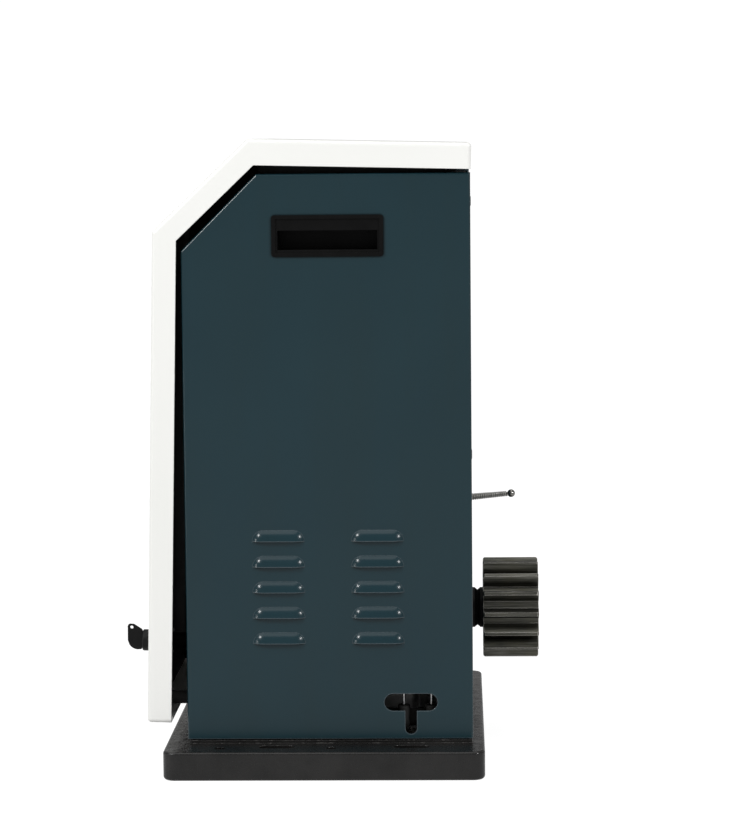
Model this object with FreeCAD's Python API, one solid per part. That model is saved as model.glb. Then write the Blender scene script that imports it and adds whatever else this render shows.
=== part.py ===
import FreeCAD, Part
import math
import os

# Sliding gate operator: cast base, sheet steel body, hinged hood, worm gearbox with a
# vertical motor, rack pinion, limit switch lever and control board.
# Millimetres. X is the direction of gate travel, -Y the hood side, +Y the gate side, +Z up.
# The origin is the centre of the base's underside.

V = FreeCAD.Vector
AXIS_X = V(1, 0, 0)
AXIS_Y = V(0, 1, 0)
AXIS_Z = V(0, 0, 1)
ROOT2 = math.sqrt(2)

# Base casting
BASE_LENGTH = 415.0
BASE_WIDTH = 310.0
BASE_HEIGHT = 28.0
BASE_CORNER_R = 12.0
BASE_LOWER_R = 3.5
BASE_UPPER_R = 2.5
PAD_HEIGHT = 3.0
PAD_MARGIN_X = 42.0
PAD_FRONT = -131.0
PAD_REAR = 143.0
SLOT_SPACING_X = 364.0
SLOT_SPACING_Y = 130.0
SLOT_CENTRE_Y = 19.0
SLOT_LENGTH = 35.0
SLOT_WIDTH = 13.0
LEVEL_SPACING_X = 376.0
LEVEL_Y = (-101.0, 6.5)
LEVEL_SCREW_R = 5.0
LEVEL_SCREW_LENGTH = 22.0
LEVEL_SOCKET_R = 2.9
LEVEL_SOCKET_DEPTH = 5.0
LEVEL_RECESS = 2.0
CABLE_X = (-112.0, -56.0)
CABLE_Y = (-96.0, -40.0)

# Cable glands
GLAND_PLATE = 3.0
GLAND_MARGIN = 10.0
GLAND_BODY_R = 10.0
GLAND_BORE_R = 5.5
GLAND_Y = (-81.0, -55.0)
GLAND_NUT_AF = 22.0
GLAND_DOME_R = 8.5
GLAND_NUT = 7.0
GLAND_DOME = 9.0
GLAND_BELOW = 8.0

# Chassis rails and their bolts
RAIL_HEIGHT = 24.0
RAIL_FOOT = 34.0
RAIL_THICK = 3.0
RAIL_BOLT_Y = (-100.0, 84.0)
RAIL_BOLT_X_INSET = 16.0
RAIL_BOLT_AF = 13.0
RAIL_BOLT_R = 4.0
RAIL_BOLT_HEAD = 5.5
RAIL_FRONT_GAP = 10.0
RAIL_REAR_GAP = 8.0

# Body of folded sheet
SHEET = 2.0
BODY_FRONT = -134.0
BODY_REAR = 144.0
BODY_TOP = 580.0
BODY_SHOULDER = 73.0
BODY_HALF = 163.5
BODY_GAP_UNDER = 1.0
FLANGE_DEPTH = 16.0
BEND_R = 2.5
PLATE_PLAY = 0.3

# Louvres
LOUVRE_LENGTH = 50.5
LOUVRE_HEIGHT = 10.8
LOUVRE_RISE = 4.5
LOUVRE_WALL = 1.2
LOUVRE_PITCH = 25.0
LOUVRE_ROWS = 5
LOUVRE_LOW_Z = 131.3
LOUVRE_COLUMNS_Y = (-43.5, 52.5)

# T-shaped cut-out
TEE_Y = 83.7
TEE_Z = 67.6
TEE_LENGTH = 51.6
TEE_WIDTH = 17.0
TEE_STEM_WIDTH = 11.3
TEE_STEM_LOW = 36.2

# Back panel
BACK_VENT_DROP = 140.0
BACK_SCREW_INSET = 33.5
BACK_SCREW_MARGIN = 28.0
LEVER_WINDOW_HALF = 24.0
LEVER_WINDOW_HEIGHT = 18.0
BACK_VENT_ROWS = 6
BACK_VENT_PITCH = 14.0
BACK_VENT_LENGTH = 150.0
BACK_VENT_WIDTH = 5.0
BACK_SCREW_R = 3.0
BACK_HEAD_R = 5.5
BACK_HEAD = 2.6
LEVER_WINDOW_RISE = 2.0
BACK_SOCKET_AF = 3.4

# Carry handles
HANDLE_Y = 7.1
HANDLE_DROP = 59.3
HANDLE_LENGTH = 107.0
HANDLE_HEIGHT = 39.6
HANDLE_CORNER_R = 2.5
HANDLE_PROUD = 1.8
HANDLE_BORDER = 3.6
HANDLE_MOUTH_HEIGHT = 20.6
HANDLE_MOUTH_LOW = 4.4
HANDLE_STEP = 1.4
HANDLE_LIP = 3.0
HANDLE_DEPTH = 36.0
HANDLE_WALL = 2.0

# Hood
HOOD_OVERHANG = 4.5
HOOD_WALL = 3.0
HOOD_EDGE_R = 4.0
HOOD_REAR_PROUD = 1.0
HOOD_CLEARANCE = 10.5
HOOD_GAP_FRONT = 1.7
HOOD_GAP_TOP = 3.5
HOOD_GAP_SHOULDER = 3.5
HOOD_RIM_FRONT = 23.3
HOOD_RIM_TOP = 25.0
HOOD_RIM_SHOULDER = 22.3
HOOD_REAR_LIP = 20.5
HOOD_REST_ANGLE = 1.45
LINER = 3.0
LINER_SETBACK = 6.0

# Hood hinges
HINGE_INSET = 10.0
HINGE_RISE = 17.0
HINGE_SPACING = 220.0
HINGE_PIN_R = 3.0
HINGE_RUNNING = 0.05
HINGE_KNUCKLE_R = 6.0
HINGE_BARREL = 24.0
HINGE_EAR = 3.0
HINGE_EAR_LENGTH = 24.0
HINGE_HEEL = 4.0
HINGE_PIN_HEAD_R = 4.5
HINGE_PIN_HEAD = 1.5
HINGE_WEB_HALF = 4.0
HINGE_SIDE_GAP = 0.5
HINGE_PLATE = 3.0
HINGE_FOOT_LENGTH = 38.0
HINGE_FOOT_SETBACK = 4.0
HINGE_LEAF_LENGTH = 58.0

# Buffers
BUFFER_INSET = 35.5
BUFFER_Z = 66.7
BUFFER_R = 9.0
BUFFER_STEM_R = 6.5
BUFFER_HEAD = 12.0
BUFFER_GAP = 0.4
BUFFER_EDGE_R = 2.0
BUFFER_FOOT = 4.0

# Lock and key
LOCK_Z = 92.4
LOCK_PROUD = 23.4
LOCK_COLLAR_WALL = 1.5
LOCK_BARREL_WALL = 3.5
LOCK_PLUG_R = 6.0
LOCK_RUNNING = 0.05
LOCK_NUT_LAND = 2.5
LOCK_NUT = 5.0
LOCK_REACH = 47.0
LOCK_EDGE_R = 1.5
LOCK_FOAM_FACTOR = 0.65
CAM_THICK = 3.0
CAM_LENGTH = 32.0
CAM_LAND = 1.0
CAM_GAP = 0.4
KEY_THICK = 2.4
KEY_BLADE_HALF = 3.6
KEY_BLADE_LENGTH = 24.0
KEY_PLAY = 0.3
KEY_RING_R = 1.7
KEY_RING_OUT = 11.6
KEY_RING_UP = 13.1
KEY_NOTCHES = 4
KEY_NOTCH = 2.0
KEY_NOTCH_START = 5.0
KEY_NOTCH_PITCH = 4.5
KEY_NOTCH_DEPTH = 1.2
STRIKER_HALF = 20.0
STRIKER_TOP = 78.0
STRIKER_THICK = 2.5

# Front bulkhead openings
WINDOW_MARGIN = 46.5
LOWER_WINDOW = (58.0, 245.0)
UPPER_WINDOW_DROP = (315.0, 90.0)
SHOULDER_VENTS = 9
SHOULDER_VENT_PITCH = 24.0
SHOULDER_VENT_HALF = 4.0
SHOULDER_VENT_SETBACK = 14.0
SHOULDER_VENT_DROP = 18.0
WINDOW_CORNER_R = 9.0

# Output shaft and pinion
SHAFT_Z = 133.4
SHAFT_R = 17.5
SHAFT_NOSE_R = 14.0
SHAFT_FRONT = -6.0
PINION_MODULE = 6.0
PINION_TEETH = 15
PINION_FACE_Y = 155.4
PINION_WIDTH = 56.0
PINION_EDGE = 1.5
PINION_PHASE = 0.8
PRESSURE_ANGLE = math.radians(20)
PINION_POCKET_R = 24.0
PINION_POCKET = 9.0
KEYWAY_WIDTH = 8.0
KEYWAY_DEPTH = 4.0
KEY_STEEL_HEIGHT = 7.0
COLLAR_WALL = 3.0
COLLAR_START = 127.0
COLLAR_GROOVE = 3.0
SHAFT_HOLE_CLEARANCE = 3.5
END_WASHER = 3.0
END_BOLT_R = 5.0
END_BOLT_AF = 16.0
END_BOLT_HEAD = 5.0
KEYWAY_END = 4.0

# Gearbox
WORM_MODULE = 3.0
WHEEL_TEETH = 30
WORM_PITCH_R = 18.0
WORM_TIP_R = 20.4
WORM_ROOT_R = 14.5
WHEEL_TIP_R = 47.2
WHEEL_ROOT_R = 41.5
WHEEL_WIDTH = 24.0
MESH_PLAY = 1.2
GEAR_Y = 40.0
WORM_LENGTH = 66.0
BOX_X = (-66.0, 104.0)
BOX_Y = (-10.0, 90.0)
BOX_Z = (31.0, 206.0)
BOX_EDGE_R = 8.0
WHEEL_CAVITY_R = 53.0
WORM_CAVITY_R = 25.0
BOSS_R = 46.0
BOSS_END = 126.0
BEARING_R = 36.0
BEARING_WIDTH = 17.0
REAR_BEARING_Y = 98.0
FRONT_BEARING_Y = -4.0
SEAL_WIDTH = 8.0
SEAL_Y = 117.0
COVER_R = 60.0
COVER_THICK = 8.0
FOOT_THICK = 14.0
FOOT_REACH = 20.0
WORM_BEARING_R = 23.5
WORM_BEARING_BORE = 10.0
WORM_BEARING_WIDTH = 14.0
WORM_BEARINGS_Z = (78.0, 176.0)
FIT_GAP = 0.3
COVER_BOLT_CIRCLE = 54.0
COVER_BOLTS = 6
COVER_BOLT_R = 3.0
COVER_BOLT_AF = 10.0
COVER_BOLT_HEAD = 4.0
BEARING_BORE_GAP = 0.05
FOOT_BOLT_INSET = 15.0
BOSS_RIB_HALF = 8.0

# Clutch and release
CLUTCH_Y = 56.0
CLUTCH_LENGTH = 28.0
CLUTCH_WALL = 10.5
CLUTCH_GROOVE_WALL = 3.5
CLUTCH_GROOVE_Y = 75.0
CLUTCH_PIN_R = 4.0
CLUTCH_PIN_PLAY = 0.6
CLUTCH_THROW = 8.0
CLUTCH_RUNNING = 0.05
DOG_LENGTH = 5.0
DOG_WIDTH = 9.0
DOG_PLAY = 0.5
RELEASE_SHAFT_R = 7.0
RELEASE_HUB_R = 9.0
RELEASE_START = -30.0
RELEASE_ARM = 92.0
RELEASE_ARM_Z = 212.0
RELEASE_THICK = 6.0
RELEASE_ARM_HALF = 6.0
RELEASE_GRIP_PAST = 16.0
RELEASE_GRIP_R = 9.0
RELEASE_GRIP_LENGTH = 40.0
RELEASE_GRIP_EDGE_R = 4.0

# Motor
MOTOR_R = 52.0
FIN_R = 57.0
FIN_COUNT = 24
FIN_THICK = 2.2
FIN_MARGIN = 13.0
MOTOR_END_WALL = 8.0
SHAFT_GAP = 1.5
STATOR_R = 46.0
AIR_R = 36.0
ROTOR_R = 35.4
ROTOR_SHAFT_R = 9.5
FLANGE_R = 59.0
FLANGE_THICK = 8.0
MOTOR_HEIGHT = 160.0
STATOR_START = 30.0
STATOR_LENGTH = 100.0
FAN_GAP = 8.0
FAN_R = 44.0
FAN_HEIGHT = 16.0
FAN_BLADES = 7
FAN_COVER_HEIGHT = 42.0
FAN_COVER_WALL = 2.5
FAN_COVER_LAP = 10.0
FAN_COVER_EDGE_R = 8.0
FAN_SLOTS_EACH_SIDE = 3
FAN_SLOT_PITCH = 9.0
FAN_SLOT_HALF = 2.0
FAN_SLOT_REACH = 41.0

# Limit switch
LIMIT_X = (-38.0, 38.0)
LIMIT_DEPTH = 42.0
LIMIT_BACK_GAP = 2.0
LIMIT_Z = (214.0, 274.0)
LIMIT_WALL = 2.5
LIMIT_FOOT = 4.0
LIMIT_FOOT_X = 8.0
LIMIT_COVER = 3.0
LEVER_SEAT_R = 6.0
LEVER_AXIS_INSET = 16.0
LEVER_Z = 246.0
LEVER_HUB_R = 9.0
LEVER_HUB_HEIGHT = 14.0
LEVER_SPINDLE_R = 3.0
LEVER_RUNNING = 0.05
LEVER_TILT = 5.0
LEVER_CAM_LENGTH = 18.0
LEVER_CAM_HALF = 2.5
SPRING_LENGTH = 52.5
SPRING_ROOT_R = 3.9
SPRING_TIP_R = 3.1
SPRING_COILS = 36
BALL_R = 4.0
SWITCH_INNER = 14.0
SWITCH_LENGTH = 20.0
SWITCH_DEPTH = 10.0
SWITCH_HEIGHT = 12.0
SWITCH_INSET = 4.0
PLUNGER_R = 1.5
PLUNGER_RUNNING = 0.05
PLUNGER_OUT = 2.0
PLUNGER_LENGTH = 8.0
PLUNGER_TRAVEL = 1.5

# Controls
TRAY_DEPTH = 30.0
TRAY_EDGE = 12.0
BOARD_THICK = 1.6
BOARD_STANDOFF = 6.0
BOARD_LEFT = 11.0
BOARD_WIDTH = 164.0
BOARD_MARGIN = (25.0, 20.0)
TRANSFORMER_INSET = 32.0
TRANSFORMER_RISE = 65.0
TRANSFORMER_R = 20.0
TRANSFORMER_HEIGHT = 26.0
BOBBIN_PROUD = 6.0
BOBBIN_MARGIN = 4.0
CAPACITOR_R = 18.0
CAPACITOR_LENGTH = 70.0
CAPACITOR_RISE = 120.0
TERMINAL_PITCH = 12.0
TERMINAL_COUNT = 12
TERMINAL_SIZE = 14.0
TERMINAL_RISE = 3.0
TERMINAL_SPLIT = 0.6
TERMINAL_SCREW_R = 2.6
TERMINAL_SCREW_Z = 9.0
TERMINAL_SCREW_DEPTH = 4.0
TERMINAL_ENTRY_Y = 5.0
TERMINAL_ENTRY_Z = 5.0
BOARD_POST_R = 3.0
BOARD_POST_INSET = 6.0
RELAY_SIZE = (19.0, 16.0, 28.0)
RELAY_COUNT = 3
BOARD_EDGE = 10.0
RELAY_GAP = 4.0
RELAY_RISE = 30.0
CAN_R = 9.0
CAN_HEIGHT = 22.0
CAN_PITCH = 24.0
CAN_EDGE_R = 1.2
CAN_INSET = 20.0

# Sizes and places that follow from the ones above
PAD_TOP = BASE_HEIGHT + PAD_HEIGHT
RAIL_FRONT = BODY_FRONT + RAIL_FRONT_GAP
RAIL_REAR = BODY_REAR - RAIL_REAR_GAP
BUFFER_X = BODY_HALF - BUFFER_INSET
HANDLE_Z = BODY_TOP - HANDLE_DROP
HOOD_HALF = BODY_HALF + HOOD_OVERHANG
HOOD_REAR = BODY_REAR + HOOD_REAR_PROUD
HOOD_BOTTOM = PAD_TOP + HOOD_CLEARANCE
HINGE_Y = BODY_REAR - HINGE_INSET
HINGE_Z = BODY_TOP + HINGE_RISE
HINGE_LEAF_FRONT = HINGE_Y - HINGE_LEAF_LENGTH
HINGE_FOOT_REAR = HINGE_Y - HINGE_FOOT_SETBACK
HINGE_FOOT_FRONT = HINGE_FOOT_REAR - HINGE_FOOT_LENGTH
LINER_REAR = HINGE_LEAF_FRONT - LINER_SETBACK
LOCK_BARREL_R = LOCK_PLUG_R + LOCK_BARREL_WALL
LOCK_COLLAR_R = LOCK_BARREL_R + LOCK_COLLAR_WALL
LOCK_NUT_AF = 2 * (LOCK_BARREL_R + LOCK_NUT_LAND)
CAM_HALF = LOCK_PLUG_R + CAM_LAND
WINDOW_HALF = BODY_HALF - SHEET - WINDOW_MARGIN
UPPER_WINDOW = (BODY_TOP - UPPER_WINDOW_DROP[0], BODY_TOP - UPPER_WINDOW_DROP[1])
COLLAR_R = SHAFT_R + COLLAR_WALL
SHAFT_HOLE_R = COLLAR_R + SHAFT_HOLE_CLEARANCE
CLUTCH_R = SHAFT_R + CLUTCH_WALL
CLUTCH_GROOVE_R = SHAFT_R + CLUTCH_GROOVE_WALL
LIMIT_REAR = BODY_REAR - 2 * SHEET - LIMIT_BACK_GAP
LIMIT_Y = (LIMIT_REAR - LIMIT_DEPTH, LIMIT_REAR)
LEVER_AXIS_Y = LIMIT_REAR - LEVER_AXIS_INSET
SWITCH_FRONT = LIMIT_Y[0] + SWITCH_INSET
BOARD_X = (-WINDOW_HALF + BOARD_LEFT, -WINDOW_HALF + BOARD_LEFT + BOARD_WIDTH)
BOARD_Z = (UPPER_WINDOW[0] + BOARD_MARGIN[0], UPPER_WINDOW[1] - BOARD_MARGIN[1])
TRANSFORMER_X = WINDOW_HALF - TRANSFORMER_INSET
TRANSFORMER_Z = UPPER_WINDOW[0] + TRANSFORMER_RISE
CAPACITOR_Z = (UPPER_WINDOW[0] + CAPACITOR_RISE, UPPER_WINDOW[0] + CAPACITOR_RISE + CAPACITOR_LENGTH)
BACK_VENT_LOW = BODY_TOP - BACK_VENT_DROP
BACK_SCREW_X = BODY_HALF - BACK_SCREW_INSET
BODY_BOTTOM = PAD_TOP + BODY_GAP_UNDER
LOUVRE_R = (LOUVRE_HEIGHT ** 2 + LOUVRE_RISE ** 2) / (2 * LOUVRE_RISE)
BODY_DIAGONAL = BODY_TOP - (BODY_FRONT + BODY_SHOULDER)
WRAP_FRONT = BODY_FRONT + SHEET
WRAP_BACK = WRAP_FRONT + SHEET
DECK_TOP = BODY_TOP - SHEET
WORM_X = WORM_MODULE * WHEEL_TEETH / 2 + WORM_PITCH_R
WORM_LEAD = math.pi * WORM_MODULE
PINION_PITCH_R = PINION_MODULE * PINION_TEETH / 2
PINION_TIP_R = PINION_PITCH_R + PINION_MODULE
PINION_ROOT_R = PINION_PITCH_R - 1.25 * PINION_MODULE
MOTOR_BASE = BOX_Z[1] + FLANGE_THICK
MOTOR_TOP = MOTOR_BASE + MOTOR_HEIGHT


def box(x, y, z):
    """Box from three (low, high) pairs."""
    return Part.makeBox(x[1] - x[0], y[1] - y[0], z[1] - z[0], V(x[0], y[0], z[0]))


def rod(radius, start, axis, length):
    """Cylinder from a start point along an axis."""
    return Part.makeCylinder(radius, length, V(*start), axis)


def tube(outer, inner, start, axis, length):
    """Cylinder with a through bore."""
    return rod(outer, start, axis, length).cut(rod(inner, start, axis, length))


def prism_yz(points, x):
    """Solid with a YZ outline, between two X values."""
    corners = [V(x[0], y, z) for y, z in points]
    wire = Part.makePolygon(corners + corners[:1])
    return Part.Face(wire).extrude(V(x[1] - x[0], 0, 0))


def hexagon(across_flats, start, axis, length):
    """Hexagonal bar from a start point along Y or Z."""
    r = across_flats / math.sqrt(3)
    side = AXIS_X
    other = axis.cross(side)
    origin = V(*start)
    corners = []
    for k in range(6):
        a = math.radians(60 * k)
        corners.append(origin + side * (r * math.cos(a)) + other * (r * math.sin(a)))
    return Part.Face(Part.makePolygon(corners + corners[:1])).extrude(axis * length)


def slot_z(length, width, centre, z, height):
    """Round-ended slot along Y, cut along Z."""
    r = width / 2
    half = length / 2 - r
    x, y = centre
    block = box((x - r, x + r), (y - half, y + half), (z, z + height))
    for end in (y - half, y + half):
        block = block.fuse(rod(r, (x, end, z), AXIS_Z, height))
    return block.removeSplitter()


def slot_x(length, width, y, z, x):
    """Round-ended slot along Y, cut along X between two X values."""
    r = width / 2
    half = length / 2 - r
    block = box(x, (y - half, y + half), (z - r, z + r))
    for end in (y - half, y + half):
        block = block.fuse(rod(r, (x[0], end, z), AXIS_X, x[1] - x[0]))
    return block.removeSplitter()


def joined(shapes):
    """Fuse a list of touching solids into one."""
    result = shapes[0]
    for shape in shapes[1:]:
        result = result.fuse(shape)
    return result.removeSplitter()


def mirrored(shape):
    """The same piece on the other side of the X = 0 plane."""
    return shape.mirror(V(0, 0, 0), AXIS_X)


def outline(front, top, diagonal, rear, bottom):
    """YZ outline: upright front, 45 degree shoulder on z - y = diagonal, flat top."""
    return [(front, bottom), (front, front + diagonal), (top - diagonal, top),
            (rear, top), (rear, bottom)]


def body_outline(inset, bottom=BODY_BOTTOM):
    """Outline of the sheet body, moved inwards."""
    return outline(BODY_FRONT + inset, BODY_TOP - inset, BODY_DIAGONAL - inset * ROOT2,
                   BODY_REAR - inset, bottom + inset)


def edges_where(shape, test):
    """Edges whose bounding box passes a test."""
    return [edge for edge in shape.Edges if test(edge.BoundBox)]


def save(name, shape):
    """Write one node."""
    shape.exportStep("parts/" + name + ".step")


# --- Base -----------------------------------------------------------------------------

def base_casting():
    half_x = BASE_LENGTH / 2
    half_y = BASE_WIDTH / 2
    slab = box((-half_x, half_x), (-half_y, half_y), (0, BASE_HEIGHT))
    slab = slab.makeFillet(BASE_CORNER_R, edges_where(slab, lambda b: b.ZLength > BASE_HEIGHT / 2))
    flat = edges_where(slab, lambda b: b.ZLength < 0.1 and b.ZMax > BASE_HEIGHT / 2)
    slab = slab.makeFillet(BASE_UPPER_R, flat)
    flat = edges_where(slab, lambda b: b.ZLength < 0.1 and b.ZMax < 0.1)
    slab = slab.makeFillet(BASE_LOWER_R, flat)
    pad_x = half_x - PAD_MARGIN_X
    pad = box((-pad_x, pad_x), (PAD_FRONT, PAD_REAR), (BASE_HEIGHT - 1, PAD_TOP))
    casting = slab.fuse(pad).removeSplitter()
    for x in (-SLOT_SPACING_X / 2, SLOT_SPACING_X / 2):
        for y in (SLOT_CENTRE_Y - SLOT_SPACING_Y / 2, SLOT_CENTRE_Y + SLOT_SPACING_Y / 2):
            casting = casting.cut(slot_z(SLOT_LENGTH, SLOT_WIDTH, (x, y), -1, PAD_TOP + 2))
    for x, y in level_points():
        casting = casting.cut(rod(LEVEL_SCREW_R, (x, y, -1), AXIS_Z, PAD_TOP + 2))
    return casting.cut(box(CABLE_X, CABLE_Y, (-1, PAD_TOP + 1)))


def level_points():
    return [(x, y) for x in (-LEVEL_SPACING_X / 2, LEVEL_SPACING_X / 2) for y in LEVEL_Y]


def levelling_screws():
    top = BASE_HEIGHT - LEVEL_RECESS
    screws = []
    for x, y in level_points():
        screw = rod(LEVEL_SCREW_R, (x, y, top - LEVEL_SCREW_LENGTH), AXIS_Z, LEVEL_SCREW_LENGTH)
        socket = hexagon(2 * LEVEL_SOCKET_R, (x, y, top - LEVEL_SOCKET_DEPTH), AXIS_Z,
                         LEVEL_SOCKET_DEPTH + 1)
        screws.append(screw.cut(socket))
    return Part.makeCompound(screws)


def gland_plate():
    plate = box((CABLE_X[0] - GLAND_MARGIN, CABLE_X[1] + GLAND_MARGIN),
                (CABLE_Y[0] - GLAND_MARGIN, CABLE_Y[1] + GLAND_MARGIN),
                (PAD_TOP, PAD_TOP + GLAND_PLATE))
    for y in GLAND_Y:
        plate = plate.cut(rod(GLAND_BODY_R, (gland_x(), y, PAD_TOP - 1), AXIS_Z, GLAND_PLATE + 2))
    return plate


def gland_x():
    return sum(CABLE_X) / 2


def cable_glands():
    glands = []
    top = PAD_TOP + GLAND_PLATE
    for y in GLAND_Y:
        x = gland_x()
        body = rod(GLAND_BODY_R, (x, y, PAD_TOP - GLAND_BELOW), AXIS_Z, GLAND_PLATE + GLAND_BELOW)
        nut = hexagon(GLAND_NUT_AF, (x, y, top), AXIS_Z, GLAND_NUT)
        dome = Part.makeCone(GLAND_BODY_R, GLAND_DOME_R, GLAND_DOME, V(x, y, top + GLAND_NUT), AXIS_Z)
        whole = joined([body, nut, dome])
        height = GLAND_BELOW + GLAND_PLATE + GLAND_NUT + GLAND_DOME
        bore = rod(GLAND_BORE_R, (x, y, PAD_TOP - GLAND_BELOW - 1), AXIS_Z, height + 2)
        glands.append(whole.cut(bore))
    return Part.makeCompound(glands)


def chassis_rails():
    """Two angle rails on the base: feet out to the panels, upright legs set inboard."""
    outer = BODY_HALF - SHEET
    inner = outer - RAIL_FOOT
    upright = box((inner, inner + RAIL_THICK), (RAIL_FRONT, RAIL_REAR), (PAD_TOP, PAD_TOP + RAIL_HEIGHT))
    foot = box((inner, outer), (RAIL_FRONT, RAIL_REAR), (PAD_TOP, PAD_TOP + RAIL_THICK))
    rail = upright.fuse(foot).removeSplitter()
    for x, y in rail_bolt_points():
        if x > 0:
            rail = rail.cut(rod(RAIL_BOLT_R, (x, y, PAD_TOP - 1), AXIS_Z, RAIL_THICK + 2))
    return Part.makeCompound([rail, mirrored(rail)])


def rail_bolt_points():
    x = BODY_HALF - SHEET - RAIL_THICK - RAIL_BOLT_X_INSET
    return [(side * x, y) for side in (-1, 1) for y in RAIL_BOLT_Y]


def frame_bolts():
    """The bolts that hold the rails and the gearbox to the base."""
    seats = [(x, y, RAIL_THICK) for x, y in rail_bolt_points()]
    seats += [(x, y, FOOT_THICK) for x, y in foot_bolt_points()]
    bolts = []
    for x, y, grip in seats:
        shank = rod(RAIL_BOLT_R, (x, y, PAD_TOP), AXIS_Z, grip)
        head = hexagon(RAIL_BOLT_AF, (x, y, PAD_TOP + grip), AXIS_Z, RAIL_BOLT_HEAD)
        bolts.append(joined([shank, head]))
    return Part.makeCompound(bolts)


# --- Body panels ----------------------------------------------------------------------

def side_panel():
    """Panel on the +X side: a tray with a flange folded in all round, louvres and cut-outs."""
    outer = BODY_HALF
    tray = prism_yz(body_outline(0), (outer - FLANGE_DEPTH, outer))
    bends = edges_where(tray, lambda b: b.XLength < 0.1 and b.XMax > outer - 1
                        and b.ZMax > BODY_BOTTOM + 1)
    tray = tray.makeFillet(BEND_R, bends)
    inside = body_outline(SHEET, BODY_BOTTOM - 2 * SHEET)
    tray = tray.cut(prism_yz(inside, (outer - FLANGE_DEPTH - 1, outer - SHEET)))
    for y in LOUVRE_COLUMNS_Y:
        for row in range(LOUVRE_ROWS):
            z = LOUVRE_LOW_Z + row * LOUVRE_PITCH
            tray = tray.fuse(louvre_dome(LOUVRE_R, y, z, SHEET))
            tray = tray.cut(louvre_dome(LOUVRE_R - LOUVRE_WALL, y, z, SHEET + 1))
    reach = (outer - SHEET - 1, outer + 1)
    tray = tray.cut(slot_x(TEE_LENGTH, TEE_WIDTH, TEE_Y, TEE_Z, reach))
    stem_r = TEE_STEM_WIDTH / 2
    stem = box(reach, (TEE_Y - stem_r, TEE_Y + stem_r), (TEE_STEM_LOW + stem_r, TEE_Z))
    tray = tray.cut(stem.fuse(rod(stem_r, (reach[0], TEE_Y, TEE_STEM_LOW + stem_r), AXIS_X,
                                  reach[1] - reach[0])))
    return tray.cut(handle_block(HANDLE_BORDER, reach))


def louvre_dome(radius, y, z, depth):
    """Long dome behind a louvre: a bar with round ends, cut off at the panel and the lower edge."""
    low = z - LOUVRE_HEIGHT / 2
    end = LOUVRE_LENGTH / 2 - LOUVRE_HEIGHT
    centre_x = BODY_HALF + LOUVRE_RISE - LOUVRE_R
    bar = rod(radius, (centre_x, y - end, low), AXIS_Y, 2 * end)
    for side in (-end, end):
        bar = bar.fuse(Part.makeSphere(radius, V(centre_x, y + side, low)))
    reach = LOUVRE_LENGTH
    keep = box((BODY_HALF - depth, BODY_HALF + reach), (y - reach, y + reach), (low, low + reach))
    return bar.removeSplitter().common(keep)


def back_panel():
    half = BODY_HALF - SHEET - PLATE_PLAY
    y = (BODY_REAR - 2 * SHEET, BODY_REAR - SHEET)
    plate = box((-half, half), y, (BODY_BOTTOM + SHEET, DECK_TOP - SHEET))
    plate = plate.cut(rod(SHAFT_HOLE_R, (0, y[0] - 1, SHAFT_Z), AXIS_Y, SHEET + 2))
    middle = LEVER_Z + LEVER_WINDOW_RISE
    window = box((-LEVER_WINDOW_HALF, LEVER_WINDOW_HALF), (y[0] - 1, y[1] + 1),
                 (middle - LEVER_WINDOW_HEIGHT / 2, middle + LEVER_WINDOW_HEIGHT / 2))
    plate = plate.cut(window)
    for row in range(BACK_VENT_ROWS):
        z = BACK_VENT_LOW + row * BACK_VENT_PITCH
        plate = plate.cut(box((-BACK_VENT_LENGTH / 2, BACK_VENT_LENGTH / 2), (y[0] - 1, y[1] + 1),
                              (z, z + BACK_VENT_WIDTH)))
    for x, z in back_screw_points():
        plate = plate.cut(rod(BACK_SCREW_R, (x, y[0] - 1, z), AXIS_Y, SHEET + 2))
    return plate


def back_screw_points():
    low = BODY_BOTTOM + BACK_SCREW_MARGIN
    high = BODY_TOP - BACK_SCREW_MARGIN
    rows = (low, (low + high) / 2, high)
    return [(x, z) for x in (-BACK_SCREW_X, BACK_SCREW_X) for z in rows]


def back_panel_screws():
    face = BODY_REAR - SHEET
    screws = []
    for x, z in back_screw_points():
        shank = rod(BACK_SCREW_R, (x, face - SHEET, z), AXIS_Y, SHEET)
        head = rod(BACK_HEAD_R, (x, face, z), AXIS_Y, BACK_HEAD)
        head = head.makeFillet(BACK_HEAD * 0.7, edges_where(head, lambda b: b.YMin > face + 1))
        socket = hexagon(BACK_SOCKET_AF, (x, face + 1, z), AXIS_Y, BACK_HEAD)
        screws.append(shank.fuse(head).cut(socket))
    return Part.makeCompound(screws)


def front_bulkhead():
    """Black inner wrap under the hood: front wall, shoulder and top deck."""
    half = BODY_HALF - SHEET - PLATE_PLAY
    rear = BODY_REAR - 2 * SHEET
    shell = prism_yz(outline(WRAP_FRONT, DECK_TOP, BODY_DIAGONAL - SHEET * ROOT2, rear,
                             PAD_TOP), (-half, half))
    core = prism_yz(outline(WRAP_BACK, DECK_TOP - SHEET, BODY_DIAGONAL - 2 * SHEET * ROOT2,
                            rear + 1, PAD_TOP - 1), (-half - 1, half + 1))
    wrap = shell.cut(core)
    for low, high in (LOWER_WINDOW, UPPER_WINDOW):
        window = box((-WINDOW_HALF, WINDOW_HALF), (WRAP_FRONT - 1, WRAP_BACK + 1), (low, high))
        corners = edges_where(window, lambda b: b.YLength > 1)
        wrap = wrap.cut(window.makeFillet(WINDOW_CORNER_R, corners))
    for k in range(SHOULDER_VENTS):
        x = (k - (SHOULDER_VENTS - 1) / 2) * SHOULDER_VENT_PITCH
        slot = box((x - SHOULDER_VENT_HALF, x + SHOULDER_VENT_HALF),
                   (BODY_FRONT + SHOULDER_VENT_SETBACK,
                    BODY_FRONT + BODY_SHOULDER - SHOULDER_VENT_SETBACK),
                   (BODY_TOP - BODY_SHOULDER, BODY_TOP - SHOULDER_VENT_DROP))
        wrap = wrap.cut(slot)
    return wrap


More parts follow.
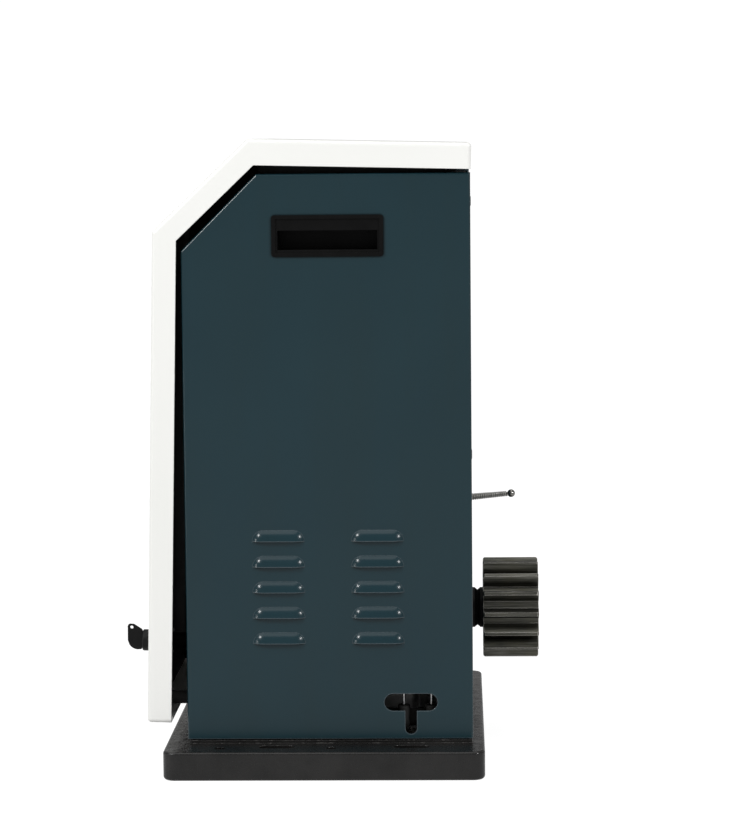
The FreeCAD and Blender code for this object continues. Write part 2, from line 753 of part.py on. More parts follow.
# --- Carry handles --------------------------------------------------------------------

def handle_block(margin, x):
    """Rounded block of the handle's outline, smaller by a margin all round."""
    half_y = HANDLE_LENGTH / 2 - margin
    half_z = HANDLE_HEIGHT / 2 - margin
    return box(x, (HANDLE_Y - half_y, HANDLE_Y + half_y), (HANDLE_Z - half_z, HANDLE_Z + half_z))


def carry_handle():
    """Recessed cup grip: fingers go in at the lower half and up behind the lip."""
    face = BODY_HALF + HANDLE_PROUD
    flange = handle_block(0, (BODY_HALF, face))
    flange = flange.makeFillet(HANDLE_CORNER_R, edges_where(flange, lambda b: b.XLength > 1))
    cup = handle_block(HANDLE_BORDER, (BODY_HALF - HANDLE_DEPTH, BODY_HALF))
    body = flange.fuse(cup).removeSplitter()
    step = handle_block(HANDLE_BORDER, (face - HANDLE_STEP, face + 1))
    body = body.cut(step)
    half_y = HANDLE_LENGTH / 2 - HANDLE_BORDER - HANDLE_WALL
    low = HANDLE_Z - HANDLE_HEIGHT / 2 + HANDLE_MOUTH_LOW + HANDLE_WALL
    top = HANDLE_Z + HANDLE_HEIGHT / 2 - HANDLE_BORDER - HANDLE_WALL
    y = (HANDLE_Y - half_y, HANDLE_Y + half_y)
    lip_back = face - HANDLE_STEP - HANDLE_LIP
    cavity = box((BODY_HALF - HANDLE_DEPTH + HANDLE_WALL, lip_back), y, (low, top))
    mouth = box((lip_back - 1, face + 1), y, (low, low + HANDLE_MOUTH_HEIGHT - HANDLE_WALL))
    return body.cut(cavity).cut(mouth)


# --- Hood -----------------------------------------------------------------------------

def hood_outline(inset, bottom):
    """Outline of the closed hood's outer skin, moved inwards."""
    front = BODY_FRONT - HOOD_GAP_FRONT - HOOD_RIM_FRONT + inset
    top = BODY_TOP + HOOD_GAP_TOP + HOOD_RIM_TOP - inset
    diagonal = BODY_DIAGONAL + (HOOD_GAP_SHOULDER + HOOD_RIM_SHOULDER - inset) * ROOT2
    return outline(front, top, diagonal, HOOD_REAR - inset, bottom)


def hood_skin_y():
    return BODY_FRONT - HOOD_GAP_FRONT - HOOD_RIM_FRONT


def at_rest(shape):
    """Turn a piece of the hood from its parallel place to where the buffers hold it."""
    shape.rotate(V(0, HINGE_Y, HINGE_Z), V(-1, 0, 0), HOOD_REST_ANGLE)
    return shape


def hood_shell():
    full = prism_yz(hood_outline(0, HOOD_BOTTOM), (-HOOD_HALF, HOOD_HALF))
    full = full.makeFillet(HOOD_EDGE_R, full.Edges)
    inner = HOOD_HALF - HOOD_WALL
    hollow = prism_yz(hood_outline(HOOD_WALL, HOOD_BOTTOM + HOOD_WALL), (-inner, inner))
    rim_gap = outline(BODY_FRONT - HOOD_GAP_FRONT, BODY_TOP + HOOD_GAP_TOP,
                      BODY_DIAGONAL + HOOD_GAP_SHOULDER * ROOT2, HOOD_REAR + 1, HOOD_BOTTOM - 1)
    inside = prism_yz(rim_gap, (-HOOD_HALF - 1, HOOD_HALF + 1))
    lip = box((-inner, inner), (HOOD_REAR - 2 * HOOD_WALL, HOOD_REAR + 1),
              (BODY_TOP, lip_bottom()))
    shell = full.cut(hollow).cut(inside).cut(lip)
    for x in hinge_centres():
        half = HINGE_BARREL / 2 + HINGE_SIDE_GAP + HINGE_EAR + 2
        shell = shell.cut(box((x - half, x + half), (HOOD_REAR - HOOD_WALL - 1, HOOD_REAR + 1),
                              (BODY_TOP, HINGE_Z + HINGE_KNUCKLE_R + 1)))
    return shell.cut(lock_hole(LOCK_BARREL_R))


def lip_bottom():
    """Lower edge of the hood's rear lip."""
    return BODY_TOP + HOOD_GAP_TOP + HOOD_RIM_TOP - HOOD_REAR_LIP


def lock_hole(radius):
    return rod(radius, (0, hood_skin_y() - 1, LOCK_Z), AXIS_Y, LINER + HOOD_WALL + 2)


def hood_liner():
    """Black foam sheet glued inside the hood."""
    inner = HOOD_HALF - HOOD_WALL
    low = HOOD_BOTTOM + HOOD_WALL
    outer = prism_yz(hood_outline(HOOD_WALL, low), (-inner, inner))
    core = prism_yz(hood_outline(HOOD_WALL + LINER, low - 1), (-inner - 1, inner + 1))
    foam = outer.cut(core)
    foam = foam.cut(box((-inner - 1, inner + 1), (LINER_REAR, HOOD_REAR + 1), (0, BODY_TOP + 60)))
    return foam.cut(lock_hole(LOCK_NUT_AF * LOCK_FOAM_FACTOR))


def hinge_centres():
    return (-HINGE_SPACING / 2, HINGE_SPACING / 2)


def hinge_brackets():
    """Fixed hinge halves, with two ears each, on the top deck."""
    brackets = []
    inner = HINGE_BARREL / 2 + HINGE_SIDE_GAP
    outer = inner + HINGE_EAR
    foot_top = DECK_TOP + HINGE_PLATE
    ear_front = HINGE_Y - HINGE_EAR_LENGTH
    for x in hinge_centres():
        foot = box((x - outer, x + outer), (HINGE_FOOT_FRONT, HINGE_FOOT_REAR), (DECK_TOP, foot_top))
        parts = [foot]
        for side in ((x - outer, x - inner), (x + inner, x + outer)):
            ear = box(side, (ear_front, HINGE_Y), (DECK_TOP + 1, HINGE_Z))
            above = HINGE_Z + HINGE_KNUCKLE_R
            slope = prism_yz([(ear_front - 1, foot_top), (ear_front - 1, above), (HINGE_Y - 2, above),
                              (HINGE_Y - HINGE_KNUCKLE_R, HINGE_Z)], (side[0] - 1, side[1] + 1))
            heel = box((side[0] - 1, side[1] + 1), (HINGE_FOOT_REAR, HINGE_Y + 1),
                       (DECK_TOP, foot_top + HINGE_HEEL))
            parts.append(ear.cut(slope).cut(heel))
            parts.append(rod(HINGE_KNUCKLE_R, (side[0], HINGE_Y, HINGE_Z), AXIS_X, HINGE_EAR))
        whole = joined(parts)
        bore = rod(HINGE_PIN_R, (x - outer - 1, HINGE_Y, HINGE_Z), AXIS_X, 2 * outer + 2)
        brackets.append(whole.cut(bore))
    return Part.makeCompound(brackets)


def hinge_pins():
    length = HINGE_BARREL + 2 * (HINGE_SIDE_GAP + HINGE_EAR)
    pins = []
    for x in hinge_centres():
        pin = rod(HINGE_PIN_R, (x - length / 2, HINGE_Y, HINGE_Z), AXIS_X, length)
        head = rod(HINGE_PIN_HEAD_R, (x + length / 2, HINGE_Y, HINGE_Z), AXIS_X, HINGE_PIN_HEAD)
        clip = rod(HINGE_PIN_HEAD_R, (x - length / 2 - HINGE_PIN_HEAD, HINGE_Y, HINGE_Z), AXIS_X,
                   HINGE_PIN_HEAD)
        pins.append(joined([pin, head, clip]))
    return Part.makeCompound(pins)


def hood_hinges():
    """Hood halves of the hinges: a barrel on a leaf under the hood's top wall."""
    top = BODY_TOP + HOOD_GAP_TOP + HOOD_RIM_TOP - HOOD_WALL
    leaves = []
    for x in hinge_centres():
        side = (x - HINGE_BARREL / 2, x + HINGE_BARREL / 2)
        leaf = box(side, (HINGE_LEAF_FRONT, HINGE_Y + HINGE_WEB_HALF), (top - HINGE_PLATE, top))
        web = box(side, (HINGE_Y - HINGE_WEB_HALF, HINGE_Y + HINGE_WEB_HALF), (HINGE_Z, top - 1))
        barrel = rod(HINGE_KNUCKLE_R, (side[0], HINGE_Y, HINGE_Z), AXIS_X, HINGE_BARREL)
        whole = joined([leaf, web, barrel])
        bore = rod(HINGE_PIN_R + HINGE_RUNNING, (side[0] - 1, HINGE_Y, HINGE_Z), AXIS_X,
                   HINGE_BARREL + 2)
        leaves.append(whole.cut(bore))
    return Part.makeCompound(leaves)


def hood_buffers():
    """Rubber buffers on stems, which hold the hood off the bulkhead."""
    drop = math.sin(math.radians(HOOD_REST_ANGLE)) * (HINGE_Z - BUFFER_Z)
    stop = hood_skin_y() + HOOD_WALL + LINER - drop + BUFFER_GAP
    length = WRAP_FRONT - stop
    buffers = []
    for x in (-BUFFER_X, BUFFER_X):
        stem = rod(BUFFER_STEM_R, (x, stop + 2, BUFFER_Z), AXIS_Y, length - 2)
        head = rod(BUFFER_R, (x, stop, BUFFER_Z), AXIS_Y, BUFFER_HEAD)
        head = head.makeFillet(BUFFER_EDGE_R, edges_where(head, lambda b: b.YMax < stop + 1))
        foot = rod(BUFFER_R - 1, (x, WRAP_FRONT - BUFFER_FOOT, BUFFER_Z), AXIS_Y, BUFFER_FOOT)
        buffers.append(joined([stem, head, foot]))
    return Part.makeCompound(buffers)


# --- Lock -----------------------------------------------------------------------------

def lock_front():
    return hood_skin_y() - LOCK_PROUD


def lock_housing():
    """Lock barrel with its guard collar on the outside of the hood."""
    skin = hood_skin_y()
    collar = rod(LOCK_COLLAR_R, (0, lock_front(), LOCK_Z), AXIS_Y, LOCK_PROUD)
    collar = collar.makeFillet(LOCK_EDGE_R, edges_where(collar, lambda b: b.YMax < lock_front() + 1))
    barrel = rod(LOCK_BARREL_R, (0, skin, LOCK_Z), AXIS_Y, LOCK_REACH)
    bore = rod(LOCK_PLUG_R + LOCK_RUNNING, (0, lock_front() - 1, LOCK_Z), AXIS_Y,
               LOCK_PROUD + LOCK_REACH + 2)
    return joined([collar, barrel]).cut(bore)


def lock_nut():
    skin = hood_skin_y() + HOOD_WALL
    nut = hexagon(LOCK_NUT_AF, (0, skin, LOCK_Z), AXIS_Y, LOCK_NUT)
    return nut.cut(rod(LOCK_BARREL_R, (0, skin - 1, LOCK_Z), AXIS_Y, LOCK_NUT + 2))


def lock_plug():
    length = LOCK_PROUD + LOCK_REACH + CAM_GAP + CAM_THICK
    front = lock_front()
    plug = rod(LOCK_PLUG_R, (0, front, LOCK_Z), AXIS_Y, length)
    half = KEY_THICK / 2 + KEY_PLAY
    tall = KEY_BLADE_HALF + KEY_PLAY
    keyway = box((-half, half), (front - 1, front + KEY_BLADE_LENGTH + 1),
                 (LOCK_Z - tall, LOCK_Z + tall))
    return plug.cut(keyway)


def lock_cam():
    """Flat cam on the end of the plug. It points along +X when unlocked."""
    y = hood_skin_y() + LOCK_REACH + CAM_GAP
    plate = box((0, CAM_LENGTH), (y, y + CAM_THICK), (LOCK_Z - CAM_HALF, LOCK_Z + CAM_HALF))
    hub = rod(CAM_HALF + 2, (0, y, LOCK_Z), AXIS_Y, CAM_THICK)
    cam = joined([plate, hub])
    return cam.cut(rod(LOCK_PLUG_R, (0, y - 1, LOCK_Z), AXIS_Y, CAM_THICK + 2))


def lock_striker():
    """Keeper plate behind the bulkhead's lower opening."""
    return box((-STRIKER_HALF, STRIKER_HALF), (WRAP_BACK, WRAP_BACK + STRIKER_THICK),
               (LOWER_WINDOW[0] - 10, STRIKER_TOP))


def key():
    """Flat key in the plug: a lobed bow with a ring hole, and a blade."""
    front = lock_front()
    half = KEY_THICK / 2

    def at(out, up):
        return V(-half, front - out, LOCK_Z + up)

    edges = [Part.LineSegment(at(0.4, -7.6), at(1.4, -9.6)).toShape(),
             Part.LineSegment(at(1.4, -9.6), at(5.8, -9.9)).toShape(),
             Part.Arc(at(5.8, -9.9), at(10.6, -8.2), at(13.8, -5.2)).toShape(),
             Part.LineSegment(at(13.8, -5.2), at(15.6, -0.5)).toShape(),
             Part.LineSegment(at(15.6, -0.5), at(15.8, 13.0)).toShape(),
             Part.Arc(at(15.8, 13.0), at(15.0, 15.8), at(12.4, 16.5)).toShape(),
             Part.LineSegment(at(12.4, 16.5), at(9.4, 16.4)).toShape(),
             Part.LineSegment(at(9.4, 16.4), at(1.2, 11.3)).toShape(),
             Part.LineSegment(at(1.2, 11.3), at(0.4, 9.6)).toShape(),
             Part.LineSegment(at(0.4, 9.6), at(0.4, -7.6)).toShape()]
    bow = Part.Face(Part.Wire(edges)).extrude(V(KEY_THICK, 0, 0))
    ring = (-half - 1, front - KEY_RING_OUT, LOCK_Z + KEY_RING_UP)
    bow = bow.cut(rod(KEY_RING_R, ring, AXIS_X, KEY_THICK + 2))
    blade = box((-half, half), (front - 1, front + KEY_BLADE_LENGTH),
                (LOCK_Z - KEY_BLADE_HALF, LOCK_Z + KEY_BLADE_HALF))
    whole = bow.fuse(blade).removeSplitter()
    for k in range(KEY_NOTCHES):
        start = front + KEY_NOTCH_START + KEY_NOTCH_PITCH * k
        depth = KEY_NOTCH_DEPTH * (1 + (k % 2) / 3)
        notch = box((-half - 1, half + 1), (start, start + KEY_NOTCH),
                    (LOCK_Z + KEY_BLADE_HALF - depth, LOCK_Z + KEY_BLADE_HALF + 1))
        whole = whole.cut(notch)
    return whole


# --- Output shaft ---------------------------------------------------------------------

def pinion_end():
    return PINION_FACE_Y + PINION_WIDTH


def nose_end():
    return pinion_end() - PINION_POCKET


def output_shaft():
    body = rod(SHAFT_R, (0, SHAFT_FRONT, SHAFT_Z), AXIS_Y, PINION_FACE_Y - SHAFT_FRONT)
    nose = rod(SHAFT_NOSE_R, (0, PINION_FACE_Y, SHAFT_Z), AXIS_Y, nose_end() - PINION_FACE_Y)
    shaft = joined([body, nose])
    return shaft.cut(keyway_block(0, SHAFT_NOSE_R + 1))


def keyway_block(margin, top):
    """Block of the parallel key's seat, from the shaft's seat floor up."""
    half = KEYWAY_WIDTH / 2 + margin
    return box((-half, half), (PINION_FACE_Y + KEYWAY_END, nose_end() - KEYWAY_END),
               (SHAFT_Z + SHAFT_NOSE_R - KEYWAY_DEPTH, SHAFT_Z + top))


def pinion_key():
    return keyway_block(0, SHAFT_NOSE_R - KEYWAY_DEPTH + KEY_STEEL_HEIGHT)


def involute(base_r, radius):
    """Polar angle of the involute at a radius."""
    t = math.sqrt((radius / base_r) ** 2 - 1)
    return t - math.atan(t)


def tooth_flank(steps=6):
    """Radius and half-angle pairs up one flank of a pinion tooth."""
    base_r = PINION_PITCH_R * math.cos(PRESSURE_ANGLE)
    half_pitch = math.pi / (2 * PINION_TEETH) - 0.004
    centre = half_pitch + involute(base_r, PINION_PITCH_R)
    low = max(base_r, PINION_ROOT_R) * 1.0005
    points = []
    for k in range(steps + 1):
        r = low + (PINION_TIP_R - low) * k / steps
        points.append((r, centre - involute(base_r, r)))
    return points


def polar(radius, angle, y):
    """Point around the output axis; angle 0 is +X and 90 degrees is +Z."""
    return V(radius * math.cos(angle), y, SHAFT_Z + radius * math.sin(angle))


def tooth_edges(centre, y):
    """Edges of one tooth: root line, flank, tip arc, flank."""
    flank = tooth_flank()
    root_angle = flank[0][1]
    low = [polar(r, centre - a, y) for r, a in flank]
    high = [polar(r, centre + a, y) for r, a in reversed(flank)]
    start = polar(PINION_ROOT_R, centre - root_angle, y)
    end = polar(PINION_ROOT_R, centre + root_angle, y)
    edges = [Part.LineSegment(start, low[0]).toShape()]
    edges.append(spline(low))
    edges.append(Part.Arc(low[-1], polar(PINION_TIP_R, centre, y), high[0]).toShape())
    edges.append(spline(high))
    edges.append(Part.LineSegment(high[-1], end).toShape())
    return edges, start, end


def spline(points):
    curve = Part.BSplineCurve()
    curve.interpolate(points)
    return curve.toShape()


def pinion():
    pitch = 2 * math.pi / PINION_TEETH
    phase = math.radians(PINION_PHASE)
    edges = []
    previous = None
    first = None
    for k in range(PINION_TEETH):
        centre = phase + k * pitch
        tooth, start, end = tooth_edges(centre, PINION_FACE_Y)
        if previous is None:
            first = start
        else:
            middle = polar(PINION_ROOT_R, centre - pitch / 2, PINION_FACE_Y)
            edges.append(Part.Arc(previous, middle, start).toShape())
        edges += tooth
        previous = end
    middle = polar(PINION_ROOT_R, phase - pitch / 2, PINION_FACE_Y)
    edges.append(Part.Arc(previous, middle, first).toShape())
    gear = Part.Face(Part.Wire(edges)).extrude(V(0, PINION_WIDTH, 0))
    gear = gear.common(pinion_blank())
    gear = gear.cut(rod(SHAFT_NOSE_R, (0, PINION_FACE_Y - 1, SHAFT_Z), AXIS_Y, PINION_WIDTH + 2))
    gear = gear.cut(rod(PINION_POCKET_R, (0, nose_end(), SHAFT_Z), AXIS_Y, PINION_POCKET + 1))
    slot_top = SHAFT_NOSE_R - KEYWAY_DEPTH + KEY_STEEL_HEIGHT
    slot = box((-KEYWAY_WIDTH / 2, KEYWAY_WIDTH / 2), (PINION_FACE_Y - 1, nose_end() + 1),
               (SHAFT_Z, SHAFT_Z + slot_top))
    return gear.cut(slot)


def pinion_blank():
    """Turned blank with chamfered tip edges."""
    blank = rod(PINION_TIP_R, (0, PINION_FACE_Y, SHAFT_Z), AXIS_Y, PINION_WIDTH)
    return blank.makeChamfer(PINION_EDGE, edges_where(blank, lambda b: b.YLength < 0.1))


def shaft_collar():
    """Spacer collar with a V groove between the panel and the pinion."""
    length = PINION_FACE_Y - COLLAR_START
    collar = tube(COLLAR_R, SHAFT_R, (0, COLLAR_START, SHAFT_Z), AXIS_Y, length)
    middle = (BODY_REAR + PINION_FACE_Y) / 2
    profile = [V(COLLAR_R + 0.01, middle - COLLAR_GROOVE, SHAFT_Z),
               V(COLLAR_R - COLLAR_GROOVE + 0.5, middle, SHAFT_Z),
               V(COLLAR_R + 0.01, middle + COLLAR_GROOVE, SHAFT_Z)]
    cutter = Part.Face(Part.makePolygon(profile + profile[:1]))
    return collar.cut(cutter.revolve(V(0, 0, SHAFT_Z), AXIS_Y, 360))


def pinion_fastener():
    """Washer and bolt in the pinion's end pocket, which clamp it on the shaft."""
    washer = tube(PINION_POCKET_R - 3, END_BOLT_R, (0, nose_end(), SHAFT_Z), AXIS_Y, END_WASHER)
    head = hexagon(END_BOLT_AF, (0, nose_end() + END_WASHER, SHAFT_Z), AXIS_Y, END_BOLT_HEAD)
    shank = rod(END_BOLT_R, (0, nose_end(), SHAFT_Z), AXIS_Y, END_WASHER)
    return Part.makeCompound([washer, joined([head, shank])])


# --- Gearbox --------------------------------------------------------------------------

def gearbox_housing():
    block = box(BOX_X, BOX_Y, BOX_Z)
    block = block.makeFillet(BOX_EDGE_R, edges_where(block, lambda b: b.ZLength > 20))
    foot = box((BOX_X[0] - FOOT_REACH, BOX_X[1] + FOOT_REACH), BOX_Y, (BOX_Z[0], BOX_Z[0] + FOOT_THICK))
    boss = rod(BOSS_R, (0, BOX_Y[1] - 1, SHAFT_Z), AXIS_Y, BOSS_END - BOX_Y[1] + 1)
    rib = box((-BOSS_RIB_HALF, BOSS_RIB_HALF), (BOX_Y[1] - 1, BOSS_END - BOSS_RIB_HALF),
              (BOX_Z[0], SHAFT_Z - BOSS_R + BOSS_RIB_HALF))
    body = joined([block, foot, boss, rib])
    inner_y = (BOX_Y[0] - 1, CLUTCH_Y + CLUTCH_LENGTH + CLUTCH_THROW + 2)
    body = body.cut(rod(WHEEL_CAVITY_R, (0, inner_y[0], SHAFT_Z), AXIS_Y, inner_y[1] - inner_y[0]))
    low = WORM_BEARINGS_Z[0]
    high = WORM_BEARINGS_Z[1] + WORM_BEARING_WIDTH
    body = body.cut(rod(WORM_CAVITY_R, (WORM_X, GEAR_Y, low + WORM_BEARING_WIDTH), AXIS_Z,
                        high - low - 2 * WORM_BEARING_WIDTH))
    body = body.cut(rod(WORM_BEARING_R, (WORM_X, GEAR_Y, low), AXIS_Z, BOX_Z[1] - low + 1))
    body = body.cut(rod(BEARING_R, (0, REAR_BEARING_Y, SHAFT_Z), AXIS_Y, BOSS_END - REAR_BEARING_Y + 1))
    body = body.cut(rod(SHAFT_R + 4, (0, 0, SHAFT_Z), AXIS_Y, BOSS_END))
    body = body.cut(rod(RELEASE_SHAFT_R + CLUTCH_RUNNING, (0, CLUTCH_GROOVE_Y, SHAFT_Z), AXIS_Z,
                        BOX_Z[1] - SHAFT_Z + 1))
    for x, y in foot_bolt_points():
        body = body.cut(rod(RAIL_BOLT_R, (x, y, BOX_Z[0] - 1), AXIS_Z, FOOT_THICK + 2))
    return body


def foot_bolt_points():
    xs = (BOX_X[0] - FOOT_REACH / 2, BOX_X[1] + FOOT_REACH / 2)
    ys = (BOX_Y[0] + FOOT_BOLT_INSET, BOX_Y[1] - FOOT_BOLT_INSET)
    return [(x, y) for x in xs for y in ys]


def gearbox_cover():
    """Round cover on the front of the gearbox, which carries the front bearing."""
    face = BOX_Y[0]
    disc = rod(COVER_R, (0, face - COVER_THICK, SHAFT_Z), AXIS_Y, COVER_THICK)
    disc = disc.makeFillet(2, edges_where(disc, lambda b: b.YMax < face - 1))
    pilot = rod(WHEEL_CAVITY_R - FIT_GAP, (0, face, SHAFT_Z), AXIS_Y,
                FRONT_BEARING_Y + BEARING_WIDTH - face)
    cover = joined([disc, pilot])
    cover = cover.cut(rod(BEARING_R, (0, FRONT_BEARING_Y, SHAFT_Z), AXIS_Y, BEARING_WIDTH + 1))
    worm = rod(WORM_CAVITY_R + 1, (WORM_X, GEAR_Y, 0), AXIS_Z, BODY_TOP)
    cover = cover.cut(rod(SHAFT_R + 2, (0, SHAFT_FRONT - 1, SHAFT_Z), AXIS_Y, 4)).cut(worm)
    for x, z in cover_bolt_points():
        cover = cover.cut(rod(COVER_BOLT_R, (x, face - COVER_THICK - 1, z), AXIS_Y, COVER_THICK + 2))
    return cover


def cover_bolt_points():
    points = []
    for k in range(COVER_BOLTS):
        a = math.radians(30 + 360 / COVER_BOLTS * k)
        points.append((COVER_BOLT_CIRCLE * math.cos(a), SHAFT_Z + COVER_BOLT_CIRCLE * math.sin(a)))
    return points


def cover_bolts():
    bolts = []
    front = BOX_Y[0] - COVER_THICK
    for x, z in cover_bolt_points():
        shank = rod(COVER_BOLT_R, (x, front, z), AXIS_Y, COVER_THICK)
        head = hexagon(COVER_BOLT_AF, (x, front - COVER_BOLT_HEAD, z), AXIS_Y, COVER_BOLT_HEAD)
        bolts.append(joined([shank, head]))
    return Part.makeCompound(bolts)


def shaft_bearings():
    return Part.makeCompound([ball_bearing(BEARING_R, SHAFT_R + BEARING_BORE_GAP, BEARING_WIDTH, y)
                              for y in (FRONT_BEARING_Y, REAR_BEARING_Y)])


def ball_bearing(outer, inner, width, y):
    """Bearing on the output axis as one ring, its shields set in from the faces."""
    ring = tube(outer, inner, (0, y, SHAFT_Z), AXIS_Y, width)
    wall = (outer - inner) / 3
    for face in (y - 1, y + width - 1):
        ring = ring.cut(tube(outer - wall, inner + wall, (0, face, SHAFT_Z), AXIS_Y, 2))
    return ring


def shaft_seal():
    return tube(BEARING_R, SHAFT_R + BEARING_BORE_GAP, (0, SEAL_Y, SHAFT_Z), AXIS_Y, SEAL_WIDTH)


def worm_bearings():
    bearings = []
    for z in WORM_BEARINGS_Z:
        inner = WORM_BEARING_BORE + BEARING_BORE_GAP
        bearings.append(tube(WORM_BEARING_R, inner, (WORM_X, GEAR_Y, z), AXIS_Z, WORM_BEARING_WIDTH))
    return Part.makeCompound(bearings)


def worm_wheel():
    y0 = GEAR_Y - WHEEL_WIDTH / 2
    wheel = tube(WHEEL_TIP_R, SHAFT_R, (0, y0, SHAFT_Z), AXIS_Y, WHEEL_WIDTH)
    hub = tube(CLUTCH_R, SHAFT_R, (0, y0, SHAFT_Z), AXIS_Y, CLUTCH_Y - y0 - DOG_PLAY)
    wheel = joined([wheel, hub])
    lead_angle = math.degrees(math.atan(WORM_LEAD / (2 * math.pi * WORM_PITCH_R)))
    gullet = wheel_gullet()
    gullet.rotate(V(0, GEAR_Y, SHAFT_Z), AXIS_X, -lead_angle)
    cutters = []
    for k in range(WHEEL_TEETH):
        cutter = gullet.copy()
        cutter.rotate(V(0, 0, SHAFT_Z), AXIS_Y, 360 / WHEEL_TEETH * k)
        cutters.append(cutter)
    wheel = wheel.cut(Part.makeCompound(cutters))
    return wheel.cut(dog_teeth(DOG_PLAY))


def wheel_gullet():
    """Space between two wheel teeth, on the side that faces the worm."""
    pitch_r = WORM_X - WORM_PITCH_R
    half = WORM_LEAD / 4 + MESH_PLAY / 4
    slope = math.tan(PRESSURE_ANGLE)
    reach = WHEEL_WIDTH
    corners = []
    for r, sign in ((WHEEL_ROOT_R, -1), (WHEEL_TIP_R + 1, -1), (WHEEL_TIP_R + 1, 1), (WHEEL_ROOT_R, 1)):
        corners.append(V(r, GEAR_Y - reach, SHAFT_Z + sign * (half + slope * (r - pitch_r))))
    return Part.Face(Part.makePolygon(corners + corners[:1])).extrude(V(0, 2 * reach, 0))


def worm_shaft():
    low = WORM_BEARINGS_Z[0]
    core = rod(WORM_ROOT_R, (WORM_X, GEAR_Y, SHAFT_Z - WORM_LENGTH / 2), AXIS_Z, WORM_LENGTH)
    journal = rod(WORM_BEARING_BORE, (WORM_X, GEAR_Y, low), AXIS_Z,
                  WORM_BEARINGS_Z[1] + WORM_BEARING_WIDTH + 4 - low)
    tail = rod(ROTOR_SHAFT_R, (WORM_X, GEAR_Y, low), AXIS_Z,
               MOTOR_TOP + FAN_GAP + FAN_HEIGHT - low)
    return joined([core, journal, tail, worm_thread()])


def worm_thread():
    """Single start right-hand thread, trimmed square at both ends."""
    turns = int(WORM_LENGTH / WORM_LEAD) + 2
    start = SHAFT_Z - WORM_LEAD * (turns // 2 + 0.5)
    helix = Part.makeHelix(WORM_LEAD, WORM_LEAD * turns, WORM_PITCH_R)
    slope = math.tan(PRESSURE_ANGLE)
    half = WORM_LEAD / 4 - MESH_PLAY / 2
    inner = WORM_ROOT_R - 0.5
    corners = []
    for r, sign in ((inner, -1), (WORM_TIP_R, -1), (WORM_TIP_R, 1), (inner, 1)):
        corners.append(V(r, 0, sign * (half - slope * (r - WORM_PITCH_R))))
    profile = Part.makePolygon(corners + corners[:1])
    thread = Part.Wire(helix.Edges).makePipeShell([profile], True, True)
    thread.translate(V(WORM_X, GEAR_Y, start))
    if thread.Volume < 0:
        thread.reverse()
    window = rod(WORM_TIP_R + 2, (WORM_X, GEAR_Y, SHAFT_Z - WORM_LENGTH / 2), AXIS_Z, WORM_LENGTH)
    return thread.common(window)


def dog_teeth(play):
    """Two clutch dogs between the sleeve and the wheel's hub."""
    half = DOG_WIDTH / 2 + play
    front = CLUTCH_Y - DOG_LENGTH - play
    dogs = box((-half, half), (front, CLUTCH_Y + 1), (SHAFT_Z - CLUTCH_R - 1, SHAFT_Z + CLUTCH_R + 1))
    ring = tube(CLUTCH_R + (1 if play else 0), SHAFT_R + (-1 if play else 1.5),
                (0, front, SHAFT_Z), AXIS_Y, CLUTCH_Y + 1 - front)
    return dogs.common(ring)


def clutch_sleeve():
    """Sliding sleeve that locks the wheel to the shaft by its dogs."""
    sleeve = rod(CLUTCH_R, (0, CLUTCH_Y, SHAFT_Z), AXIS_Y, CLUTCH_LENGTH)
    half = CLUTCH_PIN_R + CLUTCH_PIN_PLAY
    groove = (0, CLUTCH_GROOVE_Y - CLUTCH_THROW / 2 - half, SHAFT_Z)
    sleeve = sleeve.cut(tube(CLUTCH_R + 1, CLUTCH_GROOVE_R, groove, AXIS_Y, 2 * half))
    sleeve = joined([sleeve, dog_teeth(0)])
    return sleeve.cut(rod(SHAFT_R + CLUTCH_RUNNING, (0, 0, SHAFT_Z), AXIS_Y, REAR_BEARING_Y))


def release_lever():
    """Lever on a short upright shaft, with an eccentric pin in the sleeve's groove."""
    shaft_low = SHAFT_Z + CLUTCH_R + 2
    top = RELEASE_ARM_Z + RELEASE_THICK
    shaft = rod(RELEASE_SHAFT_R, (0, CLUTCH_GROOVE_Y, shaft_low), AXIS_Z, top - shaft_low)
    hub = rod(RELEASE_HUB_R, (0, CLUTCH_GROOVE_Y, RELEASE_ARM_Z - 3), AXIS_Z, RELEASE_THICK + 6)
    angle = math.radians(RELEASE_START)
    throw = CLUTCH_THROW
    pin_x = throw * math.cos(angle)
    pin_y = CLUTCH_GROOVE_Y + throw * math.sin(angle)
    pin_low = SHAFT_Z + CLUTCH_GROOVE_R + 1.5
    pin = rod(CLUTCH_PIN_R, (pin_x, pin_y, pin_low), AXIS_Z, shaft_low + 3 - pin_low)
    web = rod(RELEASE_HUB_R + 3, (0, CLUTCH_GROOVE_Y, shaft_low), AXIS_Z, 3)
    arm = box((-RELEASE_ARM, 0), release_arm_y(), (RELEASE_ARM_Z, RELEASE_ARM_Z + RELEASE_THICK))
    return joined([shaft, hub, pin, web, arm])


def release_arm_y():
    return (CLUTCH_GROOVE_Y - RELEASE_ARM_HALF, CLUTCH_GROOVE_Y + RELEASE_ARM_HALF)


def release_grip():
    x = -RELEASE_ARM - RELEASE_GRIP_PAST
    centre = RELEASE_ARM_Z + RELEASE_THICK / 2
    grip = rod(RELEASE_GRIP_R, (x, CLUTCH_GROOVE_Y, centre), AXIS_X, RELEASE_GRIP_LENGTH)
    grip = grip.makeFillet(RELEASE_GRIP_EDGE_R, edges_where(grip, lambda b: b.XLength < 0.1))
    socket = box((-RELEASE_ARM, 0), release_arm_y(), (RELEASE_ARM_Z, RELEASE_ARM_Z + RELEASE_THICK))
    return grip.cut(socket)


# --- Motor ----------------------------------------------------------------------------

def motor_point(z):
    return (WORM_X, GEAR_Y, z)


